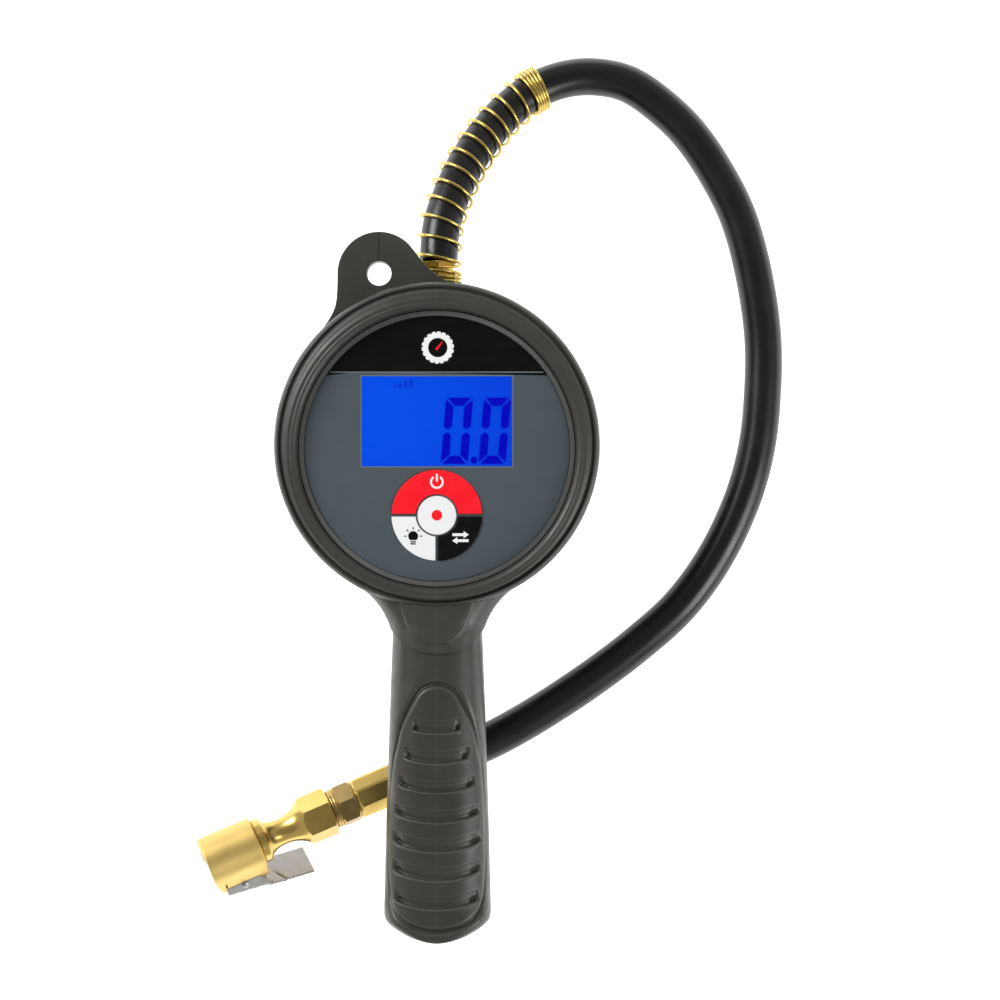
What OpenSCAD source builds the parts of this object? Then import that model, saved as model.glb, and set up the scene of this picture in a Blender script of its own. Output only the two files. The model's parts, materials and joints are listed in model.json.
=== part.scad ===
// Hand-held digital tyre pressure gauge with a squeeze valve, a hose and a clip-on chuck.
// It lies on its back: +Z out of the face, +Y towards the hose outlet, origin under the face's centre.

/* [Head] */
// Height of the head, from the flat back to the top of the ring
head_h = 62; // [61:0.5:64]
// Outer radius of the rubber boot
boot_r = 52.5; // [52:0.5:54]
// Radius of the printed face
face_r = 42.6; // [42:0.1:42.7]
// Radius of the battery housing at the back
rear_r = 38.6; // [38.4:0.1:38.9]
// Radius of the hole in the hang tab
hang_r = 4; // [3:0.5:5]

/* [Display and keys] */
// Half the width of the display window
window_hx = 24.2; // [20:0.1:24.4]
// Lower edge of the display window
window_y0 = -7; // [-7:0.5:0]
// Upper edge of the display window
window_y1 = 22; // [16:0.5:22]
// Outer radius of the ring of keys
key_r = 14.6; // [12:0.1:14.8]
// Radius of the fixed disc inside the keys
key_hub_r = 6.8; // [6:0.1:8]
// Travel of a key
key_travel = 0.5; // [0.2:0.05:0.5]

/* [Handle and lever] */
// Half the width of the handle at its lower end
handle_hx = 17.4; // [16.6:0.1:18]
// Half the depth of the handle
handle_hz = 15; // [14.5:0.5:15]
// Place of the lever's pin along the handle
pin_y = -66; // [-66:0.5:-65]
// Radius of the lever's pin
pin_r = 2; // [1.5:0.1:2.2]
// Place of the valve along the handle
valve_y = -84; // [-85:0.5:-83]

/* [Hose] */
// Outer radius of the hose
hose_r = 6.35; // [6:0.05:6.4]
// Height of the hose outlet's axis
outlet_z = 31; // [31:0.5:31.5]
// Radius of the guard spring at the middle of its wire
guard_r = 7.4; // [7.3:0.05:7.6]
// Radius of the guard spring's wire
guard_wire_r = 0.55; // [0.4:0.05:0.6]

/* [Chuck] */
// Radius of the chuck's mouth, which takes a tyre valve
mouth_r = 4.3; // [4.1:0.05:4.4]
// Depth of the mouth down to the seal
mouth_depth = 7; // [6:0.5:7]
// Radius of the chuck's barrel
barrel_r = 8.7; // [8.5:0.1:9]
// Distance across the flats of the chuck's hexagon
chuck_hex = 14.3; // [13.5:0.1:14.5]
// Width of the clip lever's tail
tail_w = 12.6; // [11:0.2:12.6]

/* [Hidden] */
$fn = 64;
gap = 0.25;                       // ordinary clearance round a loose piece
slip = 0.05;                      // running clearance of a pin or a stem
thin = 0.1;                       // thickness of a slice that a hull joins
over = 1;                         // how far a cutter runs past what it cuts

// Levels through the head, from the back to the front
boot_z0 = 18;                     // back lip of the boot
flange_z0 = 22;                   // wide part of the rear cover
plate_z0 = 32;                    // casting's plate
plate_z1 = 38;
board_z0 = 46;                    // circuit board
board_z1 = 47.6;
panel_z0 = 54.8;                  // front panel of the gauge case
panel_z1 = 56.8;
overlay_z1 = 57.4;                // top of the printed face
key_z1 = 57.9;                    // top of a key
key_foot_z = 50;                  // foot of a key's stem
case_r = 44.3;                    // gauge case and casting
case_bore = 42.8;
key_centre = [0, -22.7];
tab_centre = [-18.9, 55.7];
tab_r = 13.5;
tab_z0 = 41;
tab_z1 = 49;
case_screw_r = 40.2;              // pitch radius of the case screws
board_screw_x = 31;               // screws that hold the circuit board
board_screw_y = 12;
door_screw_y = 14.2;              // screws of the battery door
cell_y = 5.7;                     // axes of the two cells
cell_z = 8.4;

// Handle
grip_z = 45;                      // middle of the handle's depth
tube_z = 46;                      // axis of the casting's tube
tube_r = 10.5;
grip_top = -57;
grip_end = -160.4;
inlet_z = 47;
inlet_hex = 14;                   // across the flats of the inlet bushing's hexagon
inlet_r = 5.7;                    // thread of the air inlet
pin_z = 25;
boss_r = 8;                       // casting round the valve
neck_hx = 11.5;                   // casting's block in the neck
neck_y0 = -66;
neck_z0 = 26.5;
neck_z1 = 52;
knuckle_hx = 8.2;                 // half the width of the lever at its pin
lever_hx = 9.5;
stem_r = 1.9;
poppet_r = 4.2;
seat_z0 = 41.6;
seat_z1 = 43.5;
chamber_r = 6.1;

// Chuck: the mouth's centre, the axis runs from there to the hose
mouth_at = [-77.5, -139, 22.2];
chuck_yaw = 22.7;
chuck_tilt = 10;                  // the mouth looks up a little, propped on the clip's tail
clip_roll = -50;                  // side of the barrel that the clip is on
barrel_len = 18.5;
waist_x = 25.3;
waist_r = 4.65;
hex_x1 = 45.1;
fitting_x0 = 47.2;
ferrule_x0 = 54.4;
ferrule_x1 = 80;
clip_pin_x = 9.5;
clip_pin_z = -10.3;
plate_t = 0.9;                    // sheet of the clip lever
clip_z0 = -13.3;                  // its flat part
clip_z1 = clip_z0 + plate_t;

// Route of the hose on its own axis, from the outlet to the chuck's ferrule
HOSE_ROUTE = [
    [0, 61, 31], [1, 73, 29.5], [4.5, 84, 26.5], [9, 94, 22.5], [15, 103.5, 17.5], [22, 112, 13.5],
    [31, 119.5, 10.3], [42, 124, 8.5], [53, 125, 7], [64, 122.5, 6.4], [75, 115, 6.4],
    [85, 105, 6.4], [94, 91.5, 6.4], [101, 77, 6.4], [106, 58.5, 6.4], [109, 38, 6.4],
    [109, 19, 6.4], [107, 0, 6.4], [102, -18, 6.4], [93, -37, 6.4], [81, -53.5, 6.4],
    [66, -67, 6.4], [50, -79, 6.4], [34, -89.5, 6.4], [20, -97.5, 6.4], [8, -103, 7]
];
hose_sides = 12;
crimp_r = 5.9;                    // hose squeezed inside the ferrule
guard_start = -7;                 // where the spring starts, before the hose's end
guard_base = 6;                   // length of its first three turns
guard_pitch = 5.9;
guard_open = 12;                  // open turns
guard_close = 4.5;                // closed turns at the far end
guard_close_pitch = 1.2;
leg_len = 12;                     // spacing of the first points of the route

// ---- small shapes -----------------------------------------------------------------------------

module rod_x(y, z, x0, x1, r) translate([x0, y, z]) rotate([0, 90, 0]) cylinder(h = x1 - x0, r = r);
module rod_y(x, z, y0, y1, r) translate([x, y0, z]) rotate([-90, 0, 0]) cylinder(h = y1 - y0, r = r);
module rod_z(x, y, z0, z1, r) translate([x, y, z0]) cylinder(h = z1 - z0, r = r);
module box(lo, hi) translate(lo) cube(hi - lo);
module hexagon_x(x0, x1, flats, turn = 0)
    translate([x0, 0, 0]) rotate([turn, 0, 0]) rotate([0, 90, 0])
        cylinder(h = x1 - x0, r = flats / 2 / cos(30), $fn = 6);

// Points of an arc, in the plane of a profile
function arc(cx, cy, r, a0, a1, n = 8) =
    [for (i = [0:n]) [cx + r * cos(a0 + (a1 - a0) * i / n), cy + r * sin(a0 + (a1 - a0) * i / n)]];

module at_case_screws() for (a = [45:90:315]) rotate(a) translate([case_screw_r, 0, 0]) children();
module at_board_screws()
    for (x = [-board_screw_x, board_screw_x]) for (y = [-board_screw_y, board_screw_y])
        translate([x, y, 0]) children();

// Ring with a round section, such as an O-ring, lying flat
module o_ring(x, y, z, mid_r, cord_r)
    translate([x, y, z]) rotate_extrude() translate([mid_r, 0]) circle(r = cord_r, $fn = 24);

// ---- swept tubes ------------------------------------------------------------------------------

function unit(v) = v / norm(v);
function bend(p0, p1, p2, p3, t) =
    0.5 * (2 * p1 + (p2 - p0) * t + (2 * p0 - 5 * p1 + 4 * p2 - p3) * t * t
           + (3 * p1 - p0 - 3 * p2 + p3) * t * t * t);
function clamped(path, i) = path[max(0, min(len(path) - 1, i))];
function on_path(path, u) =
    u < 0 ? path[0] + u * leg_len * [0, 1, 0]
          : let (i = min(len(path) - 2, floor(u)), t = u - i)
            bend(i == 0 ? path[0] - [0, leg_len, 0] : path[i - 1], path[i], path[i + 1],
                 clamped(path, i + 2), t);
function heading(points, i) =
    unit(points[min(len(points) - 1, i + 1)] - points[max(0, i - 1)]);
function across(t) = abs(t[2]) > 0.95 ? [1, 0, 0] : unit(cross(t, [0, 0, 1]));

// Closed tube along points, with one radius for each point
module tube(points, radii, sides) {
    n = len(points);
    rings = [for (i = [0:n - 1])
        let (t = heading(points, i), a = across(t), b = cross(a, t))
        for (k = [0:sides - 1])
            points[i] + radii[i] * (cos(360 * k / sides) * a + sin(360 * k / sides) * b)];
    sides_faces = [for (i = [0:n - 2]) for (k = [0:sides - 1])
        let (p = i * sides + k, q = i * sides + (k + 1) % sides)
        for (f = [[p, q, q + sides], [p, q + sides, p + sides]]) f];
    caps = [[for (k = [sides - 1:-1:0]) k], [for (k = [0:sides - 1]) (n - 1) * sides + k]];
    polyhedron(points = rings, faces = concat(sides_faces, caps));
}

// Straight coil spring standing on z0, with flat-lying end turns
module coil(r, wire_r, turns, z0, z1, steps = 12) {
    n = round(turns * steps);
    low = z0 + wire_r;
    rise = z1 - z0 - 2 * wire_r;
    tube([for (i = [0:n]) [r * cos(360 * i / steps), r * sin(360 * i / steps), low + rise * i / n]],
         [for (i = [0:n]) wire_r], 6);
}

// ---- head -------------------------------------------------------------------------------------

bead_r = 1.6;
bead_x = 46.9;
shoulder_r = 2.3;
skirt_z0 = 28.5;
skirt_z1 = 61;
boot_profile = concat(
    [[rear_r + 0.4, boot_z0]],
    arc(boot_r - 2, boot_z0 + 2, 2, -90, 0),
    arc(boot_r - shoulder_r, head_h - 4.4, shoulder_r, 0, 120),
    [[bead_x + 1.8, head_h - 3.1]],
    arc(bead_x, head_h - bead_r, bead_r, -30, 200, 14),
    [[case_r + 0.3, head_h - 3.8], [case_r + 0.3, flange_z0], [rear_r + 0.4, flange_z0]]);
// Half of the skirt's outline, from the head to the tip of its tongue
skirt_half = concat([[36, -30], [34.5, -40.5]], arc(34.6, -65, 19.5, 110, 158, 6),
                    [[15.6, -59], [13.6, -62.4], [8, -66], [0, -67.2]]);

module mirrored_polygon(half)
    polygon(concat(half, [for (i = [len(half) - 1:-1:0]) [-half[i][0], half[i][1]]]));

module tab_outline() {
    translate(tab_centre) circle(r = tab_r);
    polygon([[-32.4, 56], [-32.4, 47], [-34.3, 42.5], [-38, 37.5], [-44.5, 28], [-30, 30], [0, 40],
             [4.4, 52.3], [0, 54.1], [-3.4, 56.8], [-6.6, 60.6], [-9.4, 65.3], [-19, 56]]);
}

module head_boot() color([0.24, 0.24, 0.23]) difference() {
    union() {
        rotate_extrude($fn = 128) polygon(boot_profile);
        difference() {
            translate([0, 0, tab_z0]) linear_extrude(tab_z1 - tab_z0) tab_outline();
            rod_z(0, 0, tab_z0 - over, tab_z1 + over, case_r + 0.3);
        }
        difference() {
            translate([0, 0, skirt_z0]) linear_extrude(skirt_z1 - skirt_z0) mirrored_polygon(skirt_half);
            rod_z(0, 0, skirt_z0 - over, skirt_z1 + over, case_r + 0.3);
            handle_form();
        }
    }
    rod_z(tab_centre[0], tab_centre[1], tab_z0 - over, tab_z1 + over, hang_r);
    rod_y(0, outlet_z, case_r - over, boot_r + over, 7.4);
    neck_block(0.1);
    box([-12.2, -71, skirt_z0 - over], [12.2, -61.5, 33]);
}

function round_section(hx, hz, n = 40) =
    [for (i = [0:n - 1]) let (a = 360 * i / n, c = cos(a), s = sin(a))
        [hx * sign(c) * pow(abs(c), 0.72), hz * sign(s) * pow(abs(s), 0.72)]];
module slice(y, hx, hz)
    translate([0, y, grip_z]) rotate([90, 0, 0]) linear_extrude(thin) polygon(round_section(hx, hz));

// Outer form of the handle: half-width and half-depth at places along it
module handle_form() hull() {
    slice(grip_top, 14.4, handle_hz - 0.8);
    slice(-87, 15.5, handle_hz - 0.4);
    slice(-118, 16.5, handle_hz);
    slice(-152.6, handle_hx, handle_hz);
    slice(-155.8, handle_hx - 3.6, handle_hz - 0.2);
    slice(-158.4, handle_hx - 8, handle_hz - 1);
    slice(grip_end + thin, handle_hx - 14.2, handle_hz - 2.4);
}

groove_count = 7;
groove_top = -90.3;
groove_pitch = 9.25;
function groove_hx(i) = [7.7, 10.4, 12.2, 13.4, 14, 14, 13.4][i];

module handle_grip() color([0.23, 0.23, 0.22]) difference() {
    handle_form();
    rod_y(0, tube_z, -152.2, grip_top + over, tube_r + 0.1);
    rod_y(0, inlet_z, grip_end - over, -152, 8.2);
    rod_z(0, valve_y, handle_hz, 57.2, boss_r + 0.1);
    neck_block(0.1);
    box([-12.2, -72, 28], [12.2, grip_top + over, 37]);
    for (i = [0:groove_count - 1])
        box([-groove_hx(i), groove_top - i * groove_pitch - 2, grip_z + handle_hz - 1.2],
            [groove_hx(i), groove_top - i * groove_pitch + 2, head_h]);
}

// Block of the casting inside the neck: low under the gauge case, full height outside it
module neck_block(grow) {
    box([-neck_hx - grow, neck_y0 - grow, neck_z0 - grow], [neck_hx + grow, -36, plate_z1]);
    box([-neck_hx - grow, neck_y0 - grow, neck_z0 - grow],
        [neck_hx + grow, -case_r - 0.4 + grow, neck_z1 + grow]);
}

module valve_body() color([0.62, 0.63, 0.65]) difference() {
    union() {
        rod_z(0, 0, plate_z0, plate_z1, 44);
        box([-7, -40, 24], [7, 42, plate_z1]);
        rod_y(0, outlet_z, 40, 52.3, 7);
        neck_block(0);
        rod_y(0, tube_z, -152, -60, tube_r);
        rod_z(0, valve_y, 30.5, 56.6, boss_r);
        for (s = [-1, 1]) scale_x(s) box([8.6, -70, 20.5], [11.5, -61, 32]);
    }
    rod_y(0, outlet_z, -50, 54, 2.5);
    rod_y(0, outlet_z, 42.5, 54, 4.9);
    rod_z(0, 0, outlet_z, plate_z1 + over, 4.9);
    rod_z(0, -50, 25, 40.5, 2.5);
    rod_y(0, 38.5, valve_y, -49, 2.2);
    rod_z(0, valve_y, seat_z0 - 0.1, 58, chamber_r);
    rod_z(0, valve_y, 36, seat_z0, 3.4);
    rod_z(0, valve_y, 30, 37, stem_r + slip);
    rod_z(0, valve_y, 31.9, 34.3, 3.4);
    rod_y(0, inlet_z, -153, valve_y, 4);
    rod_y(0, inlet_z, -153, -139, 8);
    rod_x(pin_y, pin_z, -13, 13, pin_r);
    rod_x(pin_y, pin_z, -8.5, 8.5, 4.6);
    rod_z(-20, 0, plate_z0 - over, plate_z1 + over, 3);
    at_case_screws() rod_z(0, 0, plate_z0 - over, plate_z1 + over, 1.7);
}
module scale_x(s) if (s < 0) mirror([1, 0, 0]) children(); else children();

module key_outline(a0, a1, inset, grow = 0)
    translate(key_centre) offset_sector(key_hub_r - grow, key_r + grow, a0, a1, inset - grow);
// Ring sector whose straight edges stand back from the dividing lines by inset
module offset_sector(r0, r1, a0, a1, inset) {
    b0 = asin(inset / r0);
    b1 = asin(inset / r1);
    polygon(concat(arc(0, 0, r1, a0 + b1, a1 - b1, 24), arc(0, 0, r0, a1 - b0, a0 + b0, 16)));
}
key_inset = 0.45;
KEY_POWER = [0, 180];
KEY_LIGHT = [180, 270];
KEY_UNIT = [270, 360];
function key_stem(span) =
    key_centre + 10.8 * [cos((span[0] + span[1]) / 2), sin((span[0] + span[1]) / 2)];

module gauge_case() color([0.3, 0.31, 0.32]) difference() {
    union() {
        difference() {
            rod_z(0, 0, plate_z1 + 0.1, overlay_z1 + 1, case_r);
            rod_z(0, 0, plate_z1, panel_z0, case_bore);
            rod_z(0, 0, panel_z1, overlay_z1 + 2, case_bore);
        }
        at_case_screws() rod_z(0, 0, plate_z1 + 0.1, 47, 3);
        at_board_screws() rod_z(0, 0, board_z1, panel_z0, 2.4);
    }
    box([-window_hx - 0.4, window_y0 - 0.4, panel_z0 - over], [window_hx + 0.4, window_y1 + 0.4, 60]);
    for (span = [KEY_POWER, KEY_LIGHT, KEY_UNIT])
        translate([0, 0, panel_z0 - over]) linear_extrude(4) key_outline(span[0], span[1], key_inset, gap);
    at_case_screws() rod_z(0, 0, plate_z1, 45.5, 1.5);
    at_board_screws() rod_z(0, 0, board_z1 - over, 52.6, 1.1);
}

module face_overlay() color([0.3, 0.34, 0.37]) difference() {
    rod_z(0, 0, panel_z1, overlay_z1, face_r);
    box([-window_hx, window_y0, panel_z1 - over], [window_hx, window_y1, 60]);
    for (span = [KEY_POWER, KEY_LIGHT, KEY_UNIT])
        translate([0, 0, panel_z1 - over]) linear_extrude(4) key_outline(span[0], span[1], key_inset, 0.15);
}

module display_window() color([0.1, 0.3, 0.9, 0.5])
    box([-window_hx + 0.1, window_y0 + 0.1, panel_z0],
        [window_hx - 0.1, window_y1 - 0.1, overlay_z1 - 0.2]);
module lcd_panel() color([0.1, 0.2, 0.8]) box([-26, window_y0 - 0.2, 51.6], [26, 25, 54.6]);
module lcd_connector() color([0.9, 0.6, 0.7]) box([-24, 23.2, board_z1], [24, 25, 51.5]);
module backlight_panel() color([0.95, 0.95, 1]) box([-25, window_y0 + 0.2, board_z1], [25, 22.6, 51.4]);

module circuit_board() color([0.1, 0.4, 0.2]) difference() {
    rod_z(0, 0, board_z0, board_z1 - 0.05, 36);
    at_board_screws() rod_z(0, 0, board_z0 - over, board_z1 + over, 1.4);
}
module board_screws() color([0.75, 0.75, 0.78]) at_board_screws() {
    rod_z(0, 0, board_z0 - 1.4, board_z0, 2.2);
    rod_z(0, 0, board_z0 - 0.1, 52.4, 1.05);
}
module key_switches() color([0.15, 0.15, 0.16]) for (span = [KEY_POWER, KEY_LIGHT, KEY_UNIT])
    translate([key_stem(span)[0], key_stem(span)[1], 0]) {
        box([-3, -2.6, board_z1], [3, 2.6, board_z1 + 1.3]);
        rod_z(0, 0, board_z1 + 1.2, key_foot_z - key_travel - 0.1, 1.5);
    }

module key_shape(span) {
    translate([0, 0, panel_z0 - 0.2]) linear_extrude(key_z1 - panel_z0 + 0.2)
        key_outline(span[0], span[1], key_inset);
    translate([0, 0, panel_z0 - 1]) linear_extrude(0.8) key_outline(span[0], span[1], key_inset, 0.4);
    rod_z(key_stem(span)[0], key_stem(span)[1], key_foot_z, panel_z0, 1.6);
}
module key_power() color([0.85, 0.08, 0.12]) key_shape(KEY_POWER);
module key_light() color([0.95, 0.95, 0.95]) key_shape(KEY_LIGHT);
module key_unit() color([0.05, 0.05, 0.05]) key_shape(KEY_UNIT);

module pressure_sensor() color([0.72, 0.7, 0.62]) difference() {
    union() {
        rod_z(0, 0, outlet_z + 3, plate_z1 + 0.9, 4.85);
        translate([0, 0, 38.8]) cylinder(h = 3, r = 14 / 2 / cos(30), $fn = 6);
        rod_z(0, 0, 41.7, 45, 6);
        for (a = [0:120:240]) rotate(a) rod_z(2.5, 0, 44.9, board_z0, 0.4);
    }
    rod_z(0, 0, outlet_z, 41, 1);
}
module sensor_seal() color([0.08, 0.08, 0.08]) o_ring(0, 0, plate_z1 + 0.4, 5.45, 0.4);

bay_hx = 26;
bay_hy = 18;
bay_top = 16;
module rear_cover() color([0.2, 0.2, 0.2]) difference() {
    union() {
        difference() {
            union() {
                rod_z(0, 0, 0, flange_z0 + over, rear_r);
                rod_z(0, 0, flange_z0, plate_z0 - 0.1, case_r - 0.2);
            }
            rod_z(0, 0, 2.5, plate_z0, 36);
        }
        box([-bay_hx, -bay_hy, 0], [bay_hx, bay_hy, bay_top]);
    }
    difference() {
        box([-bay_hx + 1.2, -bay_hy + 1.2, -over], [bay_hx - 1.2, bay_hy - 1.2, bay_top - 1.2]);
        for (s = [-1, 1]) rod_z(0, s * door_screw_y, 2.4, bay_top, 2.6);
    }
    box([-7.2, -60, 23.8], [7.2, 60, plate_z0]);
    box([-11.7, -60, 26], [11.7, -35, plate_z0]);
    for (s = [-1, 1]) rod_z(0, s * door_screw_y, 2, 10, 1.2);
    for (x = [-23, 23]) rod_z(x, -6, 14, bay_top + over, 0.9);
    at_case_screws() {
        rod_z(0, 0, flange_z0 - over, plate_z0, 1.7);
        rod_z(0, 0, flange_z0 - over, 25, 3);
    }
}
module case_screws() color([0.75, 0.75, 0.78]) at_case_screws() {
    rod_z(0, 0, flange_z0 + 0.6, 25, 2.7);
    rod_z(0, 0, 24.9, 45.4, 1.45);
}
module battery_door() color([0.18, 0.18, 0.18]) difference() {
    box([-bay_hx + 1.4, -bay_hy + 1.4, 0], [bay_hx - 1.4, bay_hy - 1.4, 2.2]);
    for (s = [-1, 1]) {
        rod_z(0, s * door_screw_y, -over, 3, 1.4);
        rod_z(0, s * door_screw_y, -over, 1.4, 2.4);
    }
}
module battery_door_screws() color([0.75, 0.75, 0.78]) for (s = [-1, 1]) {
    rod_z(0, s * door_screw_y, 0.3, 1.4, 2.3);
    rod_z(0, s * door_screw_y, 1.3, 9, 1.15);
}
module batteries() color([0.75, 0.55, 0.2]) for (s = [-1, 1]) {
    rod_x(s * cell_y, cell_z, -21.6, 21.6, 5.25);
    rod_x(s * cell_y, cell_z, s > 0 ? 21.5 : -22.4, s > 0 ? 22.4 : -21.5, 1.9);
}
module battery_contacts() color([0.8, 0.78, 0.7]) for (s = [-1, 1]) {
    box([s > 0 ? 23.8 : -24.2, -10, 4], [s > 0 ? 24.2 : -23.8, 10, 13]);
    rod_x(s * -cell_y, cell_z, s > 0 ? 22.0 : -23.9, s > 0 ? 23.9 : -22.0, 2.4);
    rod_x(s * cell_y, cell_z, s > 0 ? 22.5 : -23.9, s > 0 ? 23.9 : -22.5, 1.5);
}
module battery_leads() color([0.7, 0.1, 0.1]) for (k = [0, 1])
    tube([for (p = [[k == 0 ? -23 : 23, -6, 12.8], [k == 0 ? -23 : 23, -6, 17.5],
                    [k == 0 ? -22 : -10, -2 + 3 * k, 21], [-19.4 - 1.2 * k, -1 + 2 * k, 26],
                    [-19.4 - 1.2 * k, -1 + 2 * k, 36], [-19.4 - 1.2 * k, -1 + 2 * k, board_z0]]) p],
         [for (i = [0:5]) 0.5], 8);

// ---- handle -----------------------------------------------------------------------------------

lever_slope = 0.052;
lever_t = 2.2;
function lever_z(y) = 20.4 + (y - pin_y) * lever_slope;

module side_plate(x0, x1, points)
    translate([x0, 0, 0]) rotate([90, 0, 90]) linear_extrude(x1 - x0) polygon(points);

module squeeze_lever() color([0.13, 0.13, 0.13]) difference() {
    union() {
        side_plate(-lever_hx, lever_hx, concat(
            [[-72, lever_z(-72)], [-72, lever_z(-72) + lever_t], [-146, lever_z(-146) + lever_t]],
            arc(-146.5, lever_z(-146) - 2.8, 5, 90, 165), arc(-146.5, lever_z(-146) - 2.8, 2.8, 165, 90)));
        side_plate(-knuckle_hx, knuckle_hx, [[pin_y - 6.5, lever_z(-72)], [pin_y - 6.5, lever_z(-72) + 4.5],
            [pin_y, pin_z + 3], [pin_y + 3, pin_z], [pin_y, pin_z - 4]]);
        rod_x(pin_y, pin_z, -knuckle_hx, knuckle_hx, 4);
        for (s = [-1, 1]) scale_x(s) side_plate(7.3, lever_hx, [
            [-72, lever_z(-72)], [-72, lever_z(-72) + 4.5],
            [-120, lever_z(-120) + 4.5], [-132, lever_z(-132) + lever_t], [-132, lever_z(-132)]]);
        rod_z(0, valve_y, lever_z(valve_y) + 0.5, 26.4, 3.4);
    }
    rod_x(pin_y, pin_z, -20, 20, pin_r + slip);
}
module lever_pin() color([0.75, 0.75, 0.78]) {
    rod_x(pin_y, pin_z, -12.3, 11.6, pin_r);
    rod_x(pin_y, pin_z, -12.9, -11.6, pin_r + 0.9);
}

module valve_stem() color([0.8, 0.65, 0.3]) {
    rod_z(0, valve_y, 26.8, seat_z1 + 0.3, stem_r);
    rod_z(0, valve_y, seat_z1 + 0.1, 46.4, poppet_r);
}
module valve_seat() color([0.8, 0.65, 0.3]) difference() {
    rod_z(0, valve_y, seat_z0, seat_z1, chamber_r - 0.05);
    rod_z(0, valve_y, seat_z0 - over, seat_z1 + over, 2.9);
}
module stem_seal() color([0.08, 0.08, 0.08]) difference() {
    rod_z(0, valve_y, 32, 34.2, 3.3);
    rod_z(0, valve_y, 31, 35, stem_r + slip);
}
module valve_spring() color([0.75, 0.75, 0.78])
    translate([0, valve_y, 0]) coil(3.4, 0.4, 5, 46.5, 52.1);
module valve_cap() color([0.8, 0.65, 0.3]) difference() {
    rod_z(0, valve_y, 52.2, 56.6, chamber_r - 0.05);
    rod_z(0, valve_y, 54.6, 58, 2.5);
}
module passage_plug() color([0.8, 0.65, 0.3]) rod_z(0, -50, 26.5, 28.3, 2.45);

module inlet_bushing() color([0.84, 0.69, 0.35]) difference() {
    union() {
        rod_y(0, inlet_z, -155.5, -139.2, 7.95);
        translate([0, -158.5, inlet_z]) rotate([-90, 0, 0])
            cylinder(h = 3.1, r = inlet_hex / 2 / cos(30), $fn = 6);
    }
    rod_y(0, inlet_z, -160, -147.5, inlet_r);
    rod_y(0, inlet_z, -148, -145.5, 5);
    rod_y(0, inlet_z, -146, -138, 4);
}
module inlet_strainer() color([0.7, 0.7, 0.7]) difference() {
    rod_y(0, inlet_z, -147.2, -145.6, 4.95);
    for (x = [-3:1.5:3]) for (z = [-3:1.5:3]) if (norm([x, z]) < 3.6)
        rod_y(x, inlet_z + z, -148, -145, 0.5);
}

// ---- hose -------------------------------------------------------------------------------------

function chuck_point(u) = mouth_at + u * [cos(chuck_tilt) * cos(chuck_yaw),
                                          cos(chuck_tilt) * sin(chuck_yaw), -sin(chuck_tilt)];
hose_path = concat(HOSE_ROUTE, [chuck_point(ferrule_x1), chuck_point(ferrule_x1 - 3), chuck_point(57)]);
hose_last = len(HOSE_ROUTE);

module outlet_fitting()
    color([0.84, 0.69, 0.35]) translate([0, 0, outlet_z]) rotate([0, 0, 90]) difference() {
    union() {
        rod_x(0, 0, 43, 53, 4.85);
        hexagon_x(52.6, 57.4, 11.1);
        rod_x(0, 0, 57.3, 58.7, 5.1);
        hexagon_x(58.6, 60.95, 11.1);
        rod_x(0, 0, 60.9, 72, 3);
        for (x = [62:3:68]) translate([x, 0, 0]) rotate([0, 90, 0]) cylinder(h = 2.6, r1 = 3.6, r2 = 3);
    }
    rod_x(0, 0, 42, 73, 2);
}

module hose() color([0.05, 0.05, 0.05]) {
    inner = [for (u = [0:0.5:hose_last]) u];
    points = concat([for (u = inner) on_path(hose_path, u)],
                    [chuck_point(ferrule_x1 - 0.2), chuck_point(ferrule_x1 - 12), chuck_point(57)]);
    radii = concat([for (u = inner) u > hose_last - 0.1 ? crimp_r : hose_r], [crimp_r, crimp_r, crimp_r]);
    tube(points, radii, hose_sides);
}

// Turns of the guard spring at a distance from its start
function guard_turns(d) =
    d < 2.6 ? d / 1.3
    : d < guard_base ? 2 + (d - 2.6) / (guard_base - 2.6)
    : d < guard_base + guard_open * guard_pitch ? 3 + (d - guard_base) / guard_pitch
    : 3 + guard_open + (d - guard_base - guard_open * guard_pitch) / guard_close_pitch;
guard_len = guard_base + guard_open * guard_pitch + guard_close * guard_close_pitch;
function guard_place(turn) =
    turn < 2 ? turn * 1.3
    : turn < 3 ? 2.6 + (turn - 2) * (guard_base - 2.6)
    : turn < 3 + guard_open ? guard_base + (turn - 3) * guard_pitch
    : guard_base + guard_open * guard_pitch + (turn - 3 - guard_open) * guard_close_pitch;
module guard_spring() color([0.84, 0.69, 0.35]) {
    steps = 12;
    n = round(guard_turns(guard_len) * steps);
    points = [for (i = [0:n])
        let (u = (guard_start + guard_place(i / steps)) / leg_len,
             c = on_path(hose_path, u),
             t = unit(on_path(hose_path, u + 0.05) - on_path(hose_path, u - 0.05)),
             a = across(t), b = cross(a, t))
        c + guard_r * (cos(360 * i / steps) * a + sin(360 * i / steps) * b)];
    tube(points, [for (i = [0:n]) guard_wire_r], 6);
}

// ---- chuck ------------------------------------------------------------------------------------

module on_chuck() translate(mouth_at) rotate([0, chuck_tilt, chuck_yaw]) children();
module on_clip() on_chuck() rotate([clip_roll, 0, 0]) children();

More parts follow.
